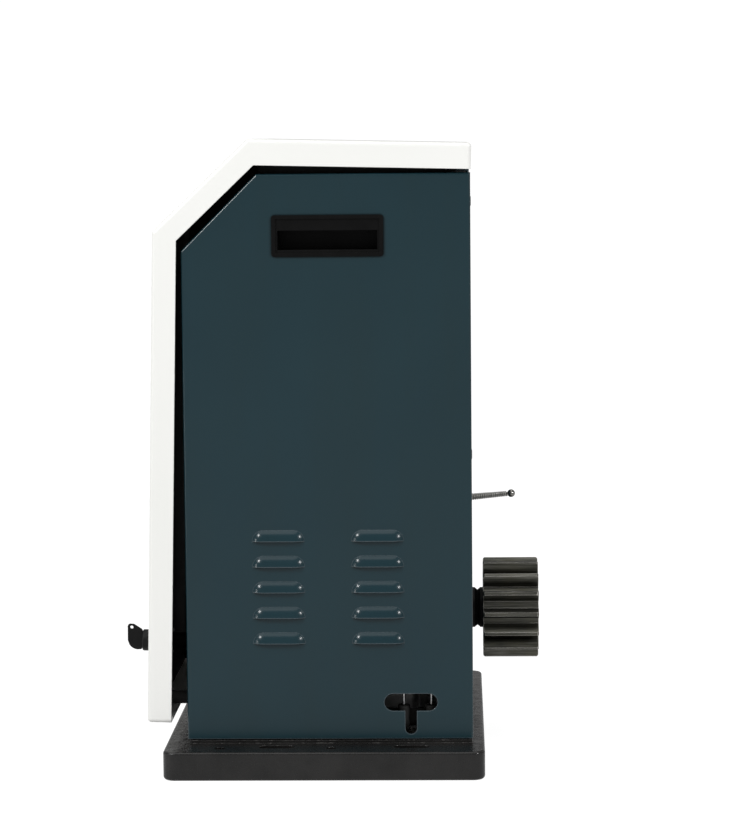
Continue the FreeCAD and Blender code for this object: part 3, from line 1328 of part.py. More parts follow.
def motor_housing():
    """Finned aluminium frame on a round flange."""
    flange = rod(FLANGE_R, motor_point(BOX_Z[1]), AXIS_Z, FLANGE_THICK)
    frame = rod(MOTOR_R, motor_point(MOTOR_BASE), AXIS_Z, MOTOR_HEIGHT)
    parts = [flange, frame]
    for k in range(FIN_COUNT):
        fin = box((WORM_X + MOTOR_R - 2, WORM_X + FIN_R),
                  (GEAR_Y - FIN_THICK / 2, GEAR_Y + FIN_THICK / 2),
                  (MOTOR_BASE + FIN_MARGIN, MOTOR_TOP - FIN_MARGIN))
        fin.rotate(V(WORM_X, GEAR_Y, 0), AXIS_Z, 360 / FIN_COUNT * k)
        parts.append(fin)
    body = joined(parts)
    body = body.cut(rod(STATOR_R, motor_point(MOTOR_BASE + MOTOR_END_WALL), AXIS_Z,
                        MOTOR_HEIGHT - 2 * MOTOR_END_WALL))
    return body.cut(rod(ROTOR_SHAFT_R + SHAFT_GAP, motor_point(BOX_Z[1] - 1), AXIS_Z,
                        MOTOR_HEIGHT + FLANGE_THICK + 2))


def stator_core():
    return tube(STATOR_R, AIR_R, motor_point(MOTOR_BASE + STATOR_START), AXIS_Z, STATOR_LENGTH)


def rotor_core():
    return tube(ROTOR_R, ROTOR_SHAFT_R, motor_point(MOTOR_BASE + STATOR_START), AXIS_Z, STATOR_LENGTH)


def cooling_fan():
    z = MOTOR_TOP + FAN_GAP
    hub = rod(ROTOR_SHAFT_R + 5, motor_point(z), AXIS_Z, FAN_HEIGHT)
    disc = rod(FAN_R - 6, motor_point(z), AXIS_Z, 2)
    parts = [hub, disc]
    for k in range(FAN_BLADES):
        blade = box((WORM_X + ROTOR_SHAFT_R + 4, WORM_X + FAN_R), (GEAR_Y - 1, GEAR_Y + 1),
                    (z, z + FAN_HEIGHT))
        blade.rotate(V(WORM_X, GEAR_Y, 0), AXIS_Z, 360 / FAN_BLADES * k)
        parts.append(blade)
    return joined(parts).cut(rod(ROTOR_SHAFT_R, motor_point(z - 1), AXIS_Z, FAN_HEIGHT + 2))


def fan_cover():
    """Pressed cowl over the fan, with air slots in its top."""
    low = MOTOR_TOP - FAN_COVER_LAP
    outer = rod(FIN_R + 2, motor_point(low), AXIS_Z, FAN_COVER_HEIGHT)
    outer = outer.makeFillet(FAN_COVER_EDGE_R, edges_where(outer, lambda b: b.ZMin > MOTOR_TOP))
    cowl = outer.cut(rod(FIN_R, motor_point(low), AXIS_Z, FAN_COVER_HEIGHT - FAN_COVER_WALL))
    for k in range(-FAN_SLOTS_EACH_SIDE, FAN_SLOTS_EACH_SIDE + 1):
        offset = FAN_SLOT_PITCH * k
        half = math.sqrt(FAN_SLOT_REACH ** 2 - offset ** 2)
        y = (GEAR_Y + offset - FAN_SLOT_HALF, GEAR_Y + offset + FAN_SLOT_HALF)
        top = low + FAN_COVER_HEIGHT
        cowl = cowl.cut(box((WORM_X - half, WORM_X + half), y, (top - 2 * FAN_COVER_WALL, top + 1)))
    return cowl


# --- Limit switch ---------------------------------------------------------------------

def limit_box():
    """Moulded switch box. Its foot reaches forward onto the top of the gearbox."""
    foot = box((LIMIT_X[0], LIMIT_FOOT_X), (BOX_Y[1] - LIMIT_FOOT, LIMIT_Y[1]),
               (BOX_Z[1], BOX_Z[1] + LIMIT_FOOT))
    riser = box(LIMIT_X, LIMIT_Y, (BOX_Z[1] + 3, LIMIT_Z[0] + 1))
    shell = joined([box(LIMIT_X, LIMIT_Y, LIMIT_Z), foot, riser])
    w = LIMIT_WALL
    inside = box((LIMIT_X[0] + w, LIMIT_X[1] - w), (LIMIT_Y[0] + w, LIMIT_Y[1] - w),
                 (LIMIT_Z[0] + w, LIMIT_Z[1] + 1))
    window = box((-LEVER_WINDOW_HALF, LEVER_WINDOW_HALF), (LIMIT_Y[1] - w - 1, LIMIT_Y[1] + 1),
                 (LEVER_Z - LEVER_HUB_R, LEVER_Z + LEVER_HUB_R))
    seat_top = LEVER_Z - LEVER_HUB_HEIGHT / 2 - 1
    seat = rod(LEVER_SEAT_R, (0, LEVER_AXIS_Y, LIMIT_Z[0]), AXIS_Z, seat_top - LIMIT_Z[0])
    body = shell.cut(inside).cut(window).fuse(seat).removeSplitter()
    post_top = LEVER_Z - SWITCH_HEIGHT / 2
    for side in (-1, 1):
        x = sorted((side * SWITCH_INNER, side * (SWITCH_INNER + SWITCH_LENGTH)))
        body = body.fuse(box(x, (SWITCH_FRONT, SWITCH_FRONT + SWITCH_DEPTH), (LIMIT_Z[0] + 1, post_top)))
    bore = rod(LEVER_SPINDLE_R + LEVER_RUNNING, (0, LEVER_AXIS_Y, LIMIT_Z[0] + LIMIT_WALL), AXIS_Z,
               LIMIT_Z[1] - LIMIT_Z[0])
    return body.removeSplitter().cut(bore)


def limit_cover():
    plate = box(LIMIT_X, LIMIT_Y, (LIMIT_Z[1], LIMIT_Z[1] + LIMIT_COVER))
    return plate.cut(rod(LEVER_SPINDLE_R + LEVER_RUNNING, (0, LEVER_AXIS_Y, LIMIT_Z[1] - 1), AXIS_Z,
                         LIMIT_COVER + 2))


def lever_hub():
    """Hub on an upright spindle, with the switch cam on its inner side."""
    low = LIMIT_Z[0] + LIMIT_FOOT
    spindle = rod(LEVER_SPINDLE_R, (0, LEVER_AXIS_Y, low), AXIS_Z, LIMIT_Z[1] + LIMIT_WALL - low)
    hub = rod(LEVER_HUB_R, (0, LEVER_AXIS_Y, LEVER_Z - LEVER_HUB_HEIGHT / 2), AXIS_Z, LEVER_HUB_HEIGHT)
    cam = box((-LEVER_CAM_HALF, LEVER_CAM_HALF), (LEVER_AXIS_Y - LEVER_CAM_LENGTH, LEVER_AXIS_Y),
              (LEVER_Z - 3, LEVER_Z + 3))
    hub = joined([spindle, hub, cam])
    flat = box((-LEVER_HUB_R, LEVER_HUB_R), (spring_root()[1] - 0.5, LEVER_AXIS_Y + LEVER_HUB_R + 1),
               (LEVER_Z - LEVER_HUB_R, LEVER_Z + LEVER_HUB_R))
    return hub.cut(flat).cut(lever_rod(SPRING_ROOT_R, 0.5))


def spring_root():
    return (0, LEVER_AXIS_Y + LEVER_HUB_R - 2, LEVER_Z)


def lever_direction():
    a = math.radians(LEVER_TILT)
    return V(0, math.cos(a), math.sin(a))


def lever_rod(radius, extra):
    """Straight rod along the tilted lever, for seats."""
    return rod(radius, spring_root(), lever_direction(), SPRING_LENGTH + extra)


def lever_spring():
    """Close-wound tapered spring: one solid with a rounded ridge for each coil."""
    pitch = SPRING_LENGTH / SPRING_COILS
    wire_r = pitch / 2
    edges = []
    origin = V(0, 0, 0)
    edges.append(Part.LineSegment(origin, V(SPRING_ROOT_R - wire_r, 0, 0)).toShape())
    for k in range(SPRING_COILS):
        share = k / SPRING_COILS
        inner = SPRING_ROOT_R - wire_r + (SPRING_TIP_R - SPRING_ROOT_R) * share
        after = inner + (SPRING_TIP_R - SPRING_ROOT_R) / SPRING_COILS
        start = V(inner, 0, k * pitch)
        middle = V((inner + after) / 2 + wire_r, 0, (k + 0.5) * pitch)
        edges.append(Part.Arc(start, middle, V(after, 0, (k + 1) * pitch)).toShape())
    end = V(0, 0, SPRING_LENGTH)
    edges.append(Part.LineSegment(V(SPRING_TIP_R - wire_r, 0, SPRING_LENGTH), end).toShape())
    edges.append(Part.LineSegment(end, origin).toShape())
    coil = Part.Face(Part.Wire(edges)).revolve(origin, AXIS_Z, 360)
    coil.rotate(origin, AXIS_X, LEVER_TILT - 90)
    coil.translate(V(*spring_root()))
    return coil


def lever_ball():
    centre = V(*spring_root()) + lever_direction() * (SPRING_LENGTH + BALL_R - 0.6)
    ball = Part.makeSphere(BALL_R, centre)
    neck = rod(SPRING_TIP_R - 0.6, spring_root(), lever_direction(), SPRING_LENGTH)
    return ball.cut(neck)


def switch_box(side):
    x = sorted((side * SWITCH_INNER, side * (SWITCH_INNER + SWITCH_LENGTH)))
    body = box(x, (SWITCH_FRONT, SWITCH_FRONT + SWITCH_DEPTH),
               (LEVER_Z - SWITCH_HEIGHT / 2, LEVER_Z + SWITCH_HEIGHT / 2))
    start = side * (SWITCH_INNER - 1)
    return body.cut(rod(PLUNGER_R + PLUNGER_RUNNING, (start, plunger_y(), LEVER_Z), AXIS_X * side,
                        PLUNGER_LENGTH + PLUNGER_TRAVEL + 1))


def plunger_y():
    return SWITCH_FRONT + SWITCH_DEPTH / 2


def micro_switches():
    return Part.makeCompound([switch_box(-1), switch_box(1)])


def plunger(side):
    start = side * (SWITCH_INNER - PLUNGER_OUT)
    pin = rod(PLUNGER_R, (start, plunger_y(), LEVER_Z), AXIS_X * side, PLUNGER_LENGTH)
    tip = edges_where(pin, lambda b: b.XLength < 0.1 and abs(b.XMin - start) < 0.1)
    return pin.makeFillet(0.6, tip)


# --- Controls -------------------------------------------------------------------------

def control_tray():
    """Recessed metal tray behind the bulkhead's upper opening."""
    half = WINDOW_HALF + TRAY_EDGE
    low = UPPER_WINDOW[0] - TRAY_EDGE
    high = UPPER_WINDOW[1] + TRAY_EDGE / 3
    outer = box((-half, half), (WRAP_BACK, WRAP_BACK + SHEET), (low, high))
    well = box((-WINDOW_HALF, WINDOW_HALF), (WRAP_BACK, WRAP_BACK + TRAY_DEPTH + SHEET),
               (UPPER_WINDOW[0], UPPER_WINDOW[1]))
    inside = box((-WINDOW_HALF + SHEET, WINDOW_HALF - SHEET), (WRAP_BACK - 1, WRAP_BACK + TRAY_DEPTH),
                 (UPPER_WINDOW[0] + SHEET, UPPER_WINDOW[1] - SHEET))
    return outer.fuse(well).removeSplitter().cut(inside)


def tray_floor():
    return WRAP_BACK + TRAY_DEPTH


def board_front():
    return tray_floor() - BOARD_STANDOFF - BOARD_THICK


def circuit_board():
    front = board_front()
    board = box(BOARD_X, (front, front + BOARD_THICK), BOARD_Z)
    parts = [board]
    for x in (BOARD_X[0] + BOARD_POST_INSET, BOARD_X[1] - BOARD_POST_INSET):
        for z in (BOARD_Z[0] + BOARD_POST_INSET, BOARD_Z[1] - BOARD_POST_INSET):
            parts.append(rod(BOARD_POST_R, (x, front, z), AXIS_Y, BOARD_THICK + BOARD_STANDOFF))
    return joined(parts)


def terminal_blocks():
    """Row of screw terminals along the lower edge of the board."""
    y = (board_front() - TERMINAL_SIZE, board_front())
    low = BOARD_Z[0] + TERMINAL_RISE
    blocks = []
    for k in range(TERMINAL_COUNT):
        x = BOARD_X[0] + BOARD_EDGE + k * TERMINAL_PITCH
        block = box((x, x + TERMINAL_PITCH - TERMINAL_SPLIT), y, (low, low + TERMINAL_SIZE))
        screw = rod(TERMINAL_SCREW_R, (x + TERMINAL_PITCH / 2, y[0] - 1, low + TERMINAL_SCREW_Z),
                    AXIS_Y, TERMINAL_SCREW_DEPTH)
        entry = box((x + TERMINAL_RISE, x + TERMINAL_PITCH - TERMINAL_RISE),
                    (y[0] + TERMINAL_ENTRY_Y, y[0] + 2 * TERMINAL_ENTRY_Y),
                    (low - 1, low + TERMINAL_ENTRY_Z))
        blocks.append(block.cut(screw).cut(entry))
    return Part.makeCompound(blocks)


def board_components():
    """Relays and smoothing capacitors on the board."""
    y = (board_front() - RELAY_SIZE[1], board_front())
    pieces = []
    for k in range(RELAY_COUNT):
        x = BOARD_X[0] + BOARD_EDGE + k * (RELAY_SIZE[0] + RELAY_GAP)
        low = BOARD_Z[0] + RELAY_RISE
        pieces.append(box((x, x + RELAY_SIZE[0]), y, (low, low + RELAY_SIZE[2])))
    for k in range(RELAY_COUNT):
        x = BOARD_X[1] - CAN_INSET - CAN_PITCH * k
        can = rod(CAN_R, (x, board_front() - CAN_HEIGHT, BOARD_Z[1] - CAN_PITCH), AXIS_Y, CAN_HEIGHT)
        pieces.append(can.makeFillet(CAN_EDGE_R, edges_where(can, lambda b: b.YMax < board_front() - 1)))
    return Part.makeCompound(pieces)


def transformer():
    """Small mains transformer: laminated core with a bobbin through it."""
    y1 = tray_floor()
    y0 = y1 - TRANSFORMER_HEIGHT
    r = TRANSFORMER_R
    y_core = y0 + BOBBIN_PROUD
    low = TRANSFORMER_Z - r
    high = TRANSFORMER_Z + r
    core = box((TRANSFORMER_X - r, TRANSFORMER_X + r), (y_core, y1), (low, high))
    coil = box((TRANSFORMER_X - r / 2, TRANSFORMER_X + r / 2), (y0, y_core),
               (low + BOBBIN_MARGIN, high - BOBBIN_MARGIN))
    return joined([core, coil])


def run_capacitor():
    y = tray_floor() - CAPACITOR_R
    can = rod(CAPACITOR_R, (TRANSFORMER_X, y, CAPACITOR_Z[0]), AXIS_Z, CAPACITOR_Z[1] - CAPACITOR_Z[0])
    return can.makeFillet(2, edges_where(can, lambda b: b.ZLength < 0.1))


FIXED_NODES = {
    "base_casting": base_casting, "levelling_screws": levelling_screws,
    "gland_plate": gland_plate, "cable_glands": cable_glands,
    "chassis_rails": chassis_rails, "frame_bolts": frame_bolts,
    "side_panel_right": side_panel, "back_panel": back_panel,
    "back_panel_screws": back_panel_screws, "front_bulkhead": front_bulkhead,
    "carry_handle_right": carry_handle, "hinge_brackets": hinge_brackets,
    "hinge_pins": hinge_pins, "hood_buffers": hood_buffers, "lock_striker": lock_striker,
    "output_shaft": output_shaft, "pinion_key": pinion_key, "pinion": pinion,
    "shaft_collar": shaft_collar, "pinion_fastener": pinion_fastener,
    "gearbox_housing": gearbox_housing, "gearbox_cover": gearbox_cover, "cover_bolts": cover_bolts,
    "shaft_bearings": shaft_bearings, "shaft_seal": shaft_seal,
    "worm_bearings": worm_bearings, "worm_wheel": worm_wheel, "worm_shaft": worm_shaft,
    "clutch_sleeve": clutch_sleeve, "release_lever": release_lever,
    "release_grip": release_grip, "motor_housing": motor_housing,
    "stator_core": stator_core, "rotor_core": rotor_core, "cooling_fan": cooling_fan,
    "fan_cover": fan_cover, "limit_box": limit_box,
    "limit_cover": limit_cover, "lever_hub": lever_hub, "lever_spring": lever_spring,
    "lever_ball": lever_ball, "micro_switches": micro_switches,
    "control_tray": control_tray, "circuit_board": circuit_board,
    "terminal_blocks": terminal_blocks, "board_components": board_components,
    "transformer": transformer,
    "run_capacitor": run_capacitor,
}

HOOD_NODES = {
    "hood_shell": hood_shell, "hood_liner": hood_liner, "hood_hinges": hood_hinges,
    "lock_housing": lock_housing, "lock_nut": lock_nut, "lock_plug": lock_plug,
    "lock_cam": lock_cam, "key": key,
}


def main():
    os.makedirs("parts", exist_ok=True)
    for name, maker in FIXED_NODES.items():
        save(name, maker())
    save("side_panel_left", mirrored(side_panel()))
    save("carry_handle_left", mirrored(carry_handle()))
    for side, name in ((-1, "plunger_left"), (1, "plunger_right")):
        save(name, plunger(side))
    for name, maker in HOOD_NODES.items():
        save(name, at_rest(maker()))


main()
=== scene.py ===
import math

import bmesh
import bpy
from mathutils import Matrix, Vector, noise


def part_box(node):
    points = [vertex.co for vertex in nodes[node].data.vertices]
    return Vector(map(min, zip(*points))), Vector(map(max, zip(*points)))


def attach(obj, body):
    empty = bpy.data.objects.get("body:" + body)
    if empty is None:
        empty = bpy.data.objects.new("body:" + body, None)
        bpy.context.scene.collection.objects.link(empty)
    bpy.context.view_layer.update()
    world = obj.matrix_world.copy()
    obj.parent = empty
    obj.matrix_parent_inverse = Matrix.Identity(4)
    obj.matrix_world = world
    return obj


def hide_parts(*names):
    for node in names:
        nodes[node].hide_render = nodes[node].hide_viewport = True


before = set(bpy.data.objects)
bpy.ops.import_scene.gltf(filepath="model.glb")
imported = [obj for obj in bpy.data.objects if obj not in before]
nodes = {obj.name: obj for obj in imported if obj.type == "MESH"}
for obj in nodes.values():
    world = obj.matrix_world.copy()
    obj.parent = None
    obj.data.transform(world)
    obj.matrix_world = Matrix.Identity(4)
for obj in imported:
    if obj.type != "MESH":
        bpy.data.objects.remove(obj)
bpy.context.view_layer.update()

MM = 0.001


# --- Base casting ---------------------------------------------------------------------
# The base is a slab of grey iron cast in sand, with a raised pad and four anchor slots.
# It is sprayed semi-gloss black over the grain of the mould. Handling has rubbed the
# paint along its edges. The faces that look up are lighter in patches, partly from road
# dust and partly as a painted sheen of light grazing the top.

def new_finish(name, metallic=0.0, coat=0.0, coat_roughness=0.2, specular=0.5):
    """A material with the values that are even all over set on its shader."""
    material = bpy.data.materials.new(name)
    material.use_nodes = True
    shader = material.node_tree.nodes["Principled BSDF"]
    shader.inputs["Metallic"].default_value = metallic
    shader.inputs["Coat Weight"].default_value = coat
    shader.inputs["Coat Roughness"].default_value = coat_roughness
    shader.inputs["Specular IOR Level"].default_value = specular
    return material


def mottle(material, size, detail=3.0, stretch=(1, 1, 1)):
    """Noise fixed to the piece, with patches of a size in metres, drawn out where stretch is small."""
    tree = material.node_tree
    place = tree.nodes.new("ShaderNodeTexCoord")
    mapping = tree.nodes.new("ShaderNodeMapping")
    mapping.inputs["Scale"].default_value = stretch
    cloud = tree.nodes.new("ShaderNodeTexNoise")
    cloud.inputs["Scale"].default_value = 1 / size
    cloud.inputs["Detail"].default_value = detail
    tree.links.new(place.outputs["Object"], mapping.inputs["Vector"])
    tree.links.new(mapping.outputs["Vector"], cloud.inputs["Vector"])
    return cloud.outputs["Fac"]


def between(material, source, start, end, low, high):
    """Turns source, from start to end, into a value from low to high."""
    tree = material.node_tree
    node = tree.nodes.new("ShaderNodeMapRange")
    node.inputs["From Min"].default_value = start
    node.inputs["From Max"].default_value = end
    node.inputs["To Min"].default_value = low
    node.inputs["To Max"].default_value = high
    tree.links.new(source, node.inputs["Value"])
    return node.outputs["Result"]


def sums(material, kind, first, second):
    """A Math node on two sources, or on a source and a number."""
    tree = material.node_tree
    node = tree.nodes.new("ShaderNodeMath")
    node.operation = kind
    node.use_clamp = True
    for place, value in enumerate((first, second)):
        if isinstance(value, (int, float)):
            node.inputs[place].default_value = value
        else:
            tree.links.new(value, node.inputs[place])
    return node.outputs["Value"]


def tinted(material, share, first, second):
    """A colour that goes from first to second as share goes from 0 to 1."""
    tree = material.node_tree
    node = tree.nodes.new("ShaderNodeMix")
    node.data_type = "RGBA"
    colour_inputs = [place for place in node.inputs if place.type == "RGBA"]
    tree.links.new(share, node.inputs[0])
    for place, value in zip(colour_inputs, (first, second)):
        if isinstance(value, tuple):
            place.default_value = (*value, 1.0)
        else:
            tree.links.new(value, place)
    return next(place for place in node.outputs if place.type == "RGBA")


def relief(material, layers, edge_radius=0.0):
    """Bump from (height source, depth in metres) layers, over edges softened by a small radius."""
    tree = material.node_tree
    normal = None
    if edge_radius:
        soft = tree.nodes.new("ShaderNodeBevel")
        soft.samples = 4
        soft.inputs["Radius"].default_value = edge_radius
        normal = soft.outputs["Normal"]
    for height, depth in layers:
        bump = tree.nodes.new("ShaderNodeBump")
        bump.inputs["Distance"].default_value = depth
        tree.links.new(height, bump.inputs["Height"])
        if normal is not None:
            tree.links.new(normal, bump.inputs["Normal"])
        normal = bump.outputs["Normal"]
    tree.links.new(normal, tree.nodes["Principled BSDF"].inputs["Normal"])


def edge_mask(material, radius, start=0.02, end=0.16):
    """1 on the piece's sharp edges and 0 on its flat faces."""
    tree = material.node_tree
    soft = tree.nodes.new("ShaderNodeBevel")
    soft.samples = 6
    soft.inputs["Radius"].default_value = radius
    true = tree.nodes.new("ShaderNodeNewGeometry")
    compare = tree.nodes.new("ShaderNodeVectorMath")
    compare.operation = "DOT_PRODUCT"
    tree.links.new(soft.outputs["Normal"], compare.inputs[0])
    tree.links.new(true.outputs["Normal"], compare.inputs[1])
    return between(material, compare.outputs["Value"], 1 - start, 1 - end, 0.0, 1.0)


def facing_up(material, start=0.4, end=0.95):
    """1 where the surface faces up and 0 where it stands or hangs."""
    tree = material.node_tree
    true = tree.nodes.new("ShaderNodeNewGeometry")
    parts = tree.nodes.new("ShaderNodeSeparateXYZ")
    tree.links.new(true.outputs["Normal"], parts.inputs["Vector"])
    return between(material, parts.outputs["Z"], start, end, 0.0, 1.0)


def set_finish(material, colour, roughness):
    """Puts a colour and a roughness source on the shader."""
    tree = material.node_tree
    shader = tree.nodes["Principled BSDF"]
    tree.links.new(colour, shader.inputs["Base Color"])
    tree.links.new(roughness, shader.inputs["Roughness"])
    return material


def dress(material, slot, *names):
    """Gives CAD nodes a material; the slot argument is not used."""
    for name in names:
        piece = nodes[name]
        piece.data.materials.clear()
        piece.data.materials.append(material)


cast_paint = new_finish("cast_paint", specular=0.42)
sand = mottle(cast_paint, 1.1 * MM, 4.0)
flow = mottle(cast_paint, 9 * MM, 3.0)
streak = mottle(cast_paint, 30 * MM, 5.0, stretch=(0.25, 1, 1))
scuff = mottle(cast_paint, 5 * MM, 6.0, stretch=(0.5, 1, 1))
paint_tone = tinted(cast_paint, between(cast_paint, streak, 0.35, 0.65, 0, 1),
                    (0.005, 0.0048, 0.0046), (0.012, 0.0114, 0.011))
# Lighter tone on faces that look up: partly dust, partly a painted sheen of grazing light.
dust_and_sheen = sums(cast_paint, "MULTIPLY", facing_up(cast_paint),
            between(cast_paint, streak, 0.3, 0.75, 0.1, 0.5))
paint_tone = tinted(cast_paint, dust_and_sheen, paint_tone, (0.021, 0.0195, 0.0185))
rubbed = sums(cast_paint, "MULTIPLY", edge_mask(cast_paint, 1.3 * MM),
              between(cast_paint, scuff, 0.52, 0.66, 0, 1))
paint_tone = tinted(cast_paint, rubbed, paint_tone, (0.12, 0.115, 0.11))
set_finish(cast_paint, paint_tone, between(cast_paint, flow, 0.3, 0.7, 0.2, 0.34))
relief(cast_paint, [(flow, 0.25 * MM), (sand, 0.16 * MM)], 0.8 * MM)
dress(cast_paint, "cast_base", "base_casting")


# --- Zinc-plated hardware -------------------------------------------------------------
# Bolts, brackets and pressed plates are mild steel with bright zinc plating. The bath
# leaves a fine crystal pattern, and the passivation a faint blue and straw tint.

def plated(name, light, dark, straw, crystal=3.0 * MM):
    """Zinc plate: cells of slightly different grey, a faint tint and fine draw lines."""
    material = new_finish(name, metallic=1.0)
    tree = material.node_tree
    place = tree.nodes.new("ShaderNodeTexCoord")
    cells = tree.nodes.new("ShaderNodeTexVoronoi")
    cells.inputs["Scale"].default_value = 1 / crystal
    tree.links.new(place.outputs["Object"], cells.inputs["Vector"])
    tone = tree.nodes.new("ShaderNodeSeparateColor")
    tree.links.new(cells.outputs["Color"], tone.inputs["Color"])
    tint = mottle(material, 22 * MM, 2.0)
    lines = mottle(material, 0.5 * MM, 3.0, stretch=(1, 1, 0.06))
    colour = tinted(material, tone.outputs["Red"], dark, light)
    colour = tinted(material, between(material, tint, 0.45, 0.75, 0, 0.5), colour, straw)
    set_finish(material, colour, between(material, tone.outputs["Green"], 0, 1, 0.26, 0.42))
    relief(material, [(lines, 0.012 * MM)], 0.3 * MM)
    return material


zinc = plated("zinc_plate", (0.66, 0.67, 0.68), (0.5, 0.51, 0.53), (0.62, 0.58, 0.46))
dress(zinc, "zinc", "gland_plate", "frame_bolts", "lock_striker", "lock_cam", "pinion_fastener",
      "cover_bolts", "release_lever", "lever_hub", "control_tray")


# --- Black screws ---------------------------------------------------------------------
# The levelling screws and the back panel's screws are high-tensile steel, blackened and
# oiled. The levelling screws are set just under the top of the base.

def blackened(name, dark, light, patch=6 * MM):
    """Chemically blackened steel: nearly black, with a dull oily sheen."""
    material = new_finish(name, metallic=0.85)
    cloud = mottle(material, patch, 4.0)
    fine = mottle(material, 0.6 * MM, 2.0)
    rub = sums(material, "MULTIPLY", edge_mask(material, 0.5 * MM),
               between(material, fine, 0.4, 0.7, 0.1, 0.9))
    colour = tinted(material, between(material, cloud, 0.35, 0.65, 0, 1), dark, light)
    colour = tinted(material, rub, colour, (0.42, 0.41, 0.39))
    set_finish(material, colour, between(material, cloud, 0.3, 0.7, 0.3, 0.46))
    relief(material, [(fine, 0.02 * MM)], 0.25 * MM)
    return material


screw_black = blackened("blackened_screws", (0.03, 0.03, 0.03), (0.075, 0.073, 0.07))
dress(screw_black, "black_steel", "levelling_screws", "back_panel_screws")


# --- Cable glands ---------------------------------------------------------------------
# Two nylon glands stand in a plate over the cable opening. They are injection moulded in
# black with a fine matt skin, and nothing passes through them yet.

def moulded(name, dark, light, grain=0.45 * MM, depth=0.03 * MM, gloss=(0.42, 0.56), edge=0.3 * MM,
            specular=0.45):
    """Injection-moulded plastic with a fine spark-eroded skin."""
    material = new_finish(name, specular=specular)
    skin = mottle(material, grain, 2.0)
    cloud = mottle(material, 18 * MM, 3.0)
    colour = tinted(material, between(material, cloud, 0.35, 0.65, 0, 1), dark, light)
    set_finish(material, colour, between(material, skin, 0.3, 0.7, *gloss))
    relief(material, [(skin, depth)], edge)
    return material


gland_nylon = moulded("gland_nylon", (0.012, 0.012, 0.013), (0.022, 0.022, 0.023))
dress(gland_nylon, "black_plastic", "cable_glands")


# --- Chassis --------------------------------------------------------------------------
# Two folded rails and the front bulkhead carry the body on the casting. They are 2 and
# 3 mm sheet steel, welded and then powder coated satin black.

def powder(name, main, drift, gloss, peel=1.6 * MM, depth=0.035 * MM, specular=0.4, edge=0.5 * MM):
    """Powder coat: an even colour, with the slight orange peel of cured powder."""
    material = new_finish(name, specular=specular)
    ripple = mottle(material, peel, 1.0)
    cloud = mottle(material, 120 * MM, 2.0)
    fleck = mottle(material, 0.35 * MM, 1.0)
    colour = tinted(material, between(material, cloud, 0.3, 0.7, 0, 1), main, drift)
    set_finish(material, colour, between(material, cloud, 0.3, 0.7, *gloss))
    relief(material, [(ripple, depth), (fleck, depth / 6)], edge)
    return material


black_powder = powder("black_powder", (0.005, 0.005, 0.0052), (0.008, 0.008, 0.0082), gloss=(0.4, 0.5),
                      specular=0.2)
dress(black_powder, "black_paint", "chassis_rails", "front_bulkhead", "fan_cover", "hinge_brackets",
      "hood_hinges")


# --- Body panels ----------------------------------------------------------------------
# The two sides and the back are 2 mm steel sheet, folded along their edges and powder
# coated satin slate blue. The louvres are pressed outward in one stroke. The coat is
# thin along sharp edges, and the paler colour there is partly a painted highlight on
# the bends. Shade is painted into the corners and under the louvres' lips, where the
# colour goes darker and the gloss goes dull.

SLATE_SPECULAR = 0.36
PAINTED_SHADE_SPECULAR = 0.03
PAINTED_SHADE_REACH = 5 * MM
PAINTED_SHADE_SAMPLES = 8

slate_powder = new_finish("slate_powder")
slate_cloud = mottle(slate_powder, 150 * MM, 2.0)
slate_band = mottle(slate_powder, 45 * MM, 2.0, stretch=(1, 1, 0.15))
slate_peel = mottle(slate_powder, 1.5 * MM, 1.0)
slate_fleck = mottle(slate_powder, 0.4 * MM, 1.0)
slate_tone = tinted(slate_powder, between(slate_powder, slate_cloud, 0.3, 0.7, 0, 1),
                    (0.006, 0.026, 0.035), (0.0075, 0.029, 0.038))
slate_tone = tinted(slate_powder, between(slate_powder, slate_band, 0.4, 0.75, 0, 0.5), slate_tone,
                    (0.008, 0.025, 0.03))
# Paler colour on sharp edges and bends: partly thin coat, partly a painted highlight along the folds.
slate_edge_wear_and_highlight = sums(slate_powder, "MULTIPLY", edge_mask(slate_powder, 1.6 * MM), 0.55)
slate_tone = tinted(slate_powder, slate_edge_wear_and_highlight, slate_tone, (0.17, 0.2, 0.22))
slate_tree = slate_powder.node_tree
# Painted shade: an occlusion test darkens the colour and dulls the gloss in corners and under the louvres'
# lips.
crevice_shade_ao = slate_tree.nodes.new("ShaderNodeAmbientOcclusion")
crevice_shade_ao.samples = PAINTED_SHADE_SAMPLES
crevice_shade_ao.inputs["Distance"].default_value = PAINTED_SHADE_REACH
painted_crevice_shade = between(slate_powder, crevice_shade_ao.outputs["AO"], 0.4, 0.85, 1, 0)
slate_tone = tinted(slate_powder, painted_crevice_shade, slate_tone, (0.0015, 0.002, 0.002))
slate_tree.links.new(between(slate_powder, painted_crevice_shade, 0, 1, SLATE_SPECULAR, PAINTED_SHADE_SPECULAR),
                     slate_tree.nodes["Principled BSDF"].inputs["Specular IOR Level"])
set_finish(slate_powder, slate_tone, between(slate_powder, slate_cloud, 0.3, 0.7, 0.21, 0.25))
relief(slate_powder, [(slate_peel, 0.008 * MM), (slate_fleck, 0.002 * MM)], 0.4 * MM)
dress(slate_powder, "slate_paint", "side_panel_right", "side_panel_left", "back_panel")


# --- Carry handles --------------------------------------------------------------------
# Each side has a flush grip of black glass-filled nylon. It is moulded as one cup with a
# stepped border, and snaps into a cut-out in the panel from outside.

grip_nylon = moulded("grip_nylon", (0.0018, 0.0018, 0.0019), (0.003, 0.003, 0.0031), grain=0.5 * MM,
                     gloss=(0.36, 0.5), edge=0.5 * MM, specular=0.12)
dress(grip_nylon, "black_plastic", "carry_handle_right", "carry_handle_left")


# --- Hood -----------------------------------------------------------------------------
# The hood is one white shell of pressed sheet, with its rims folded back round the body.
# It is coated with a smooth white powder, which has a soft gloss, and sprayed black inside.

INNER_BLACK = (0.006, 0.006, 0.006)
WALL_DEPTH = 1.5 * MM
SHEET_INSET = 2 * MM
EDGE_MARGIN = 4 * MM

hood_low, hood_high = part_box("hood_shell")
wall_x = hood_high.x - WALL_DEPTH

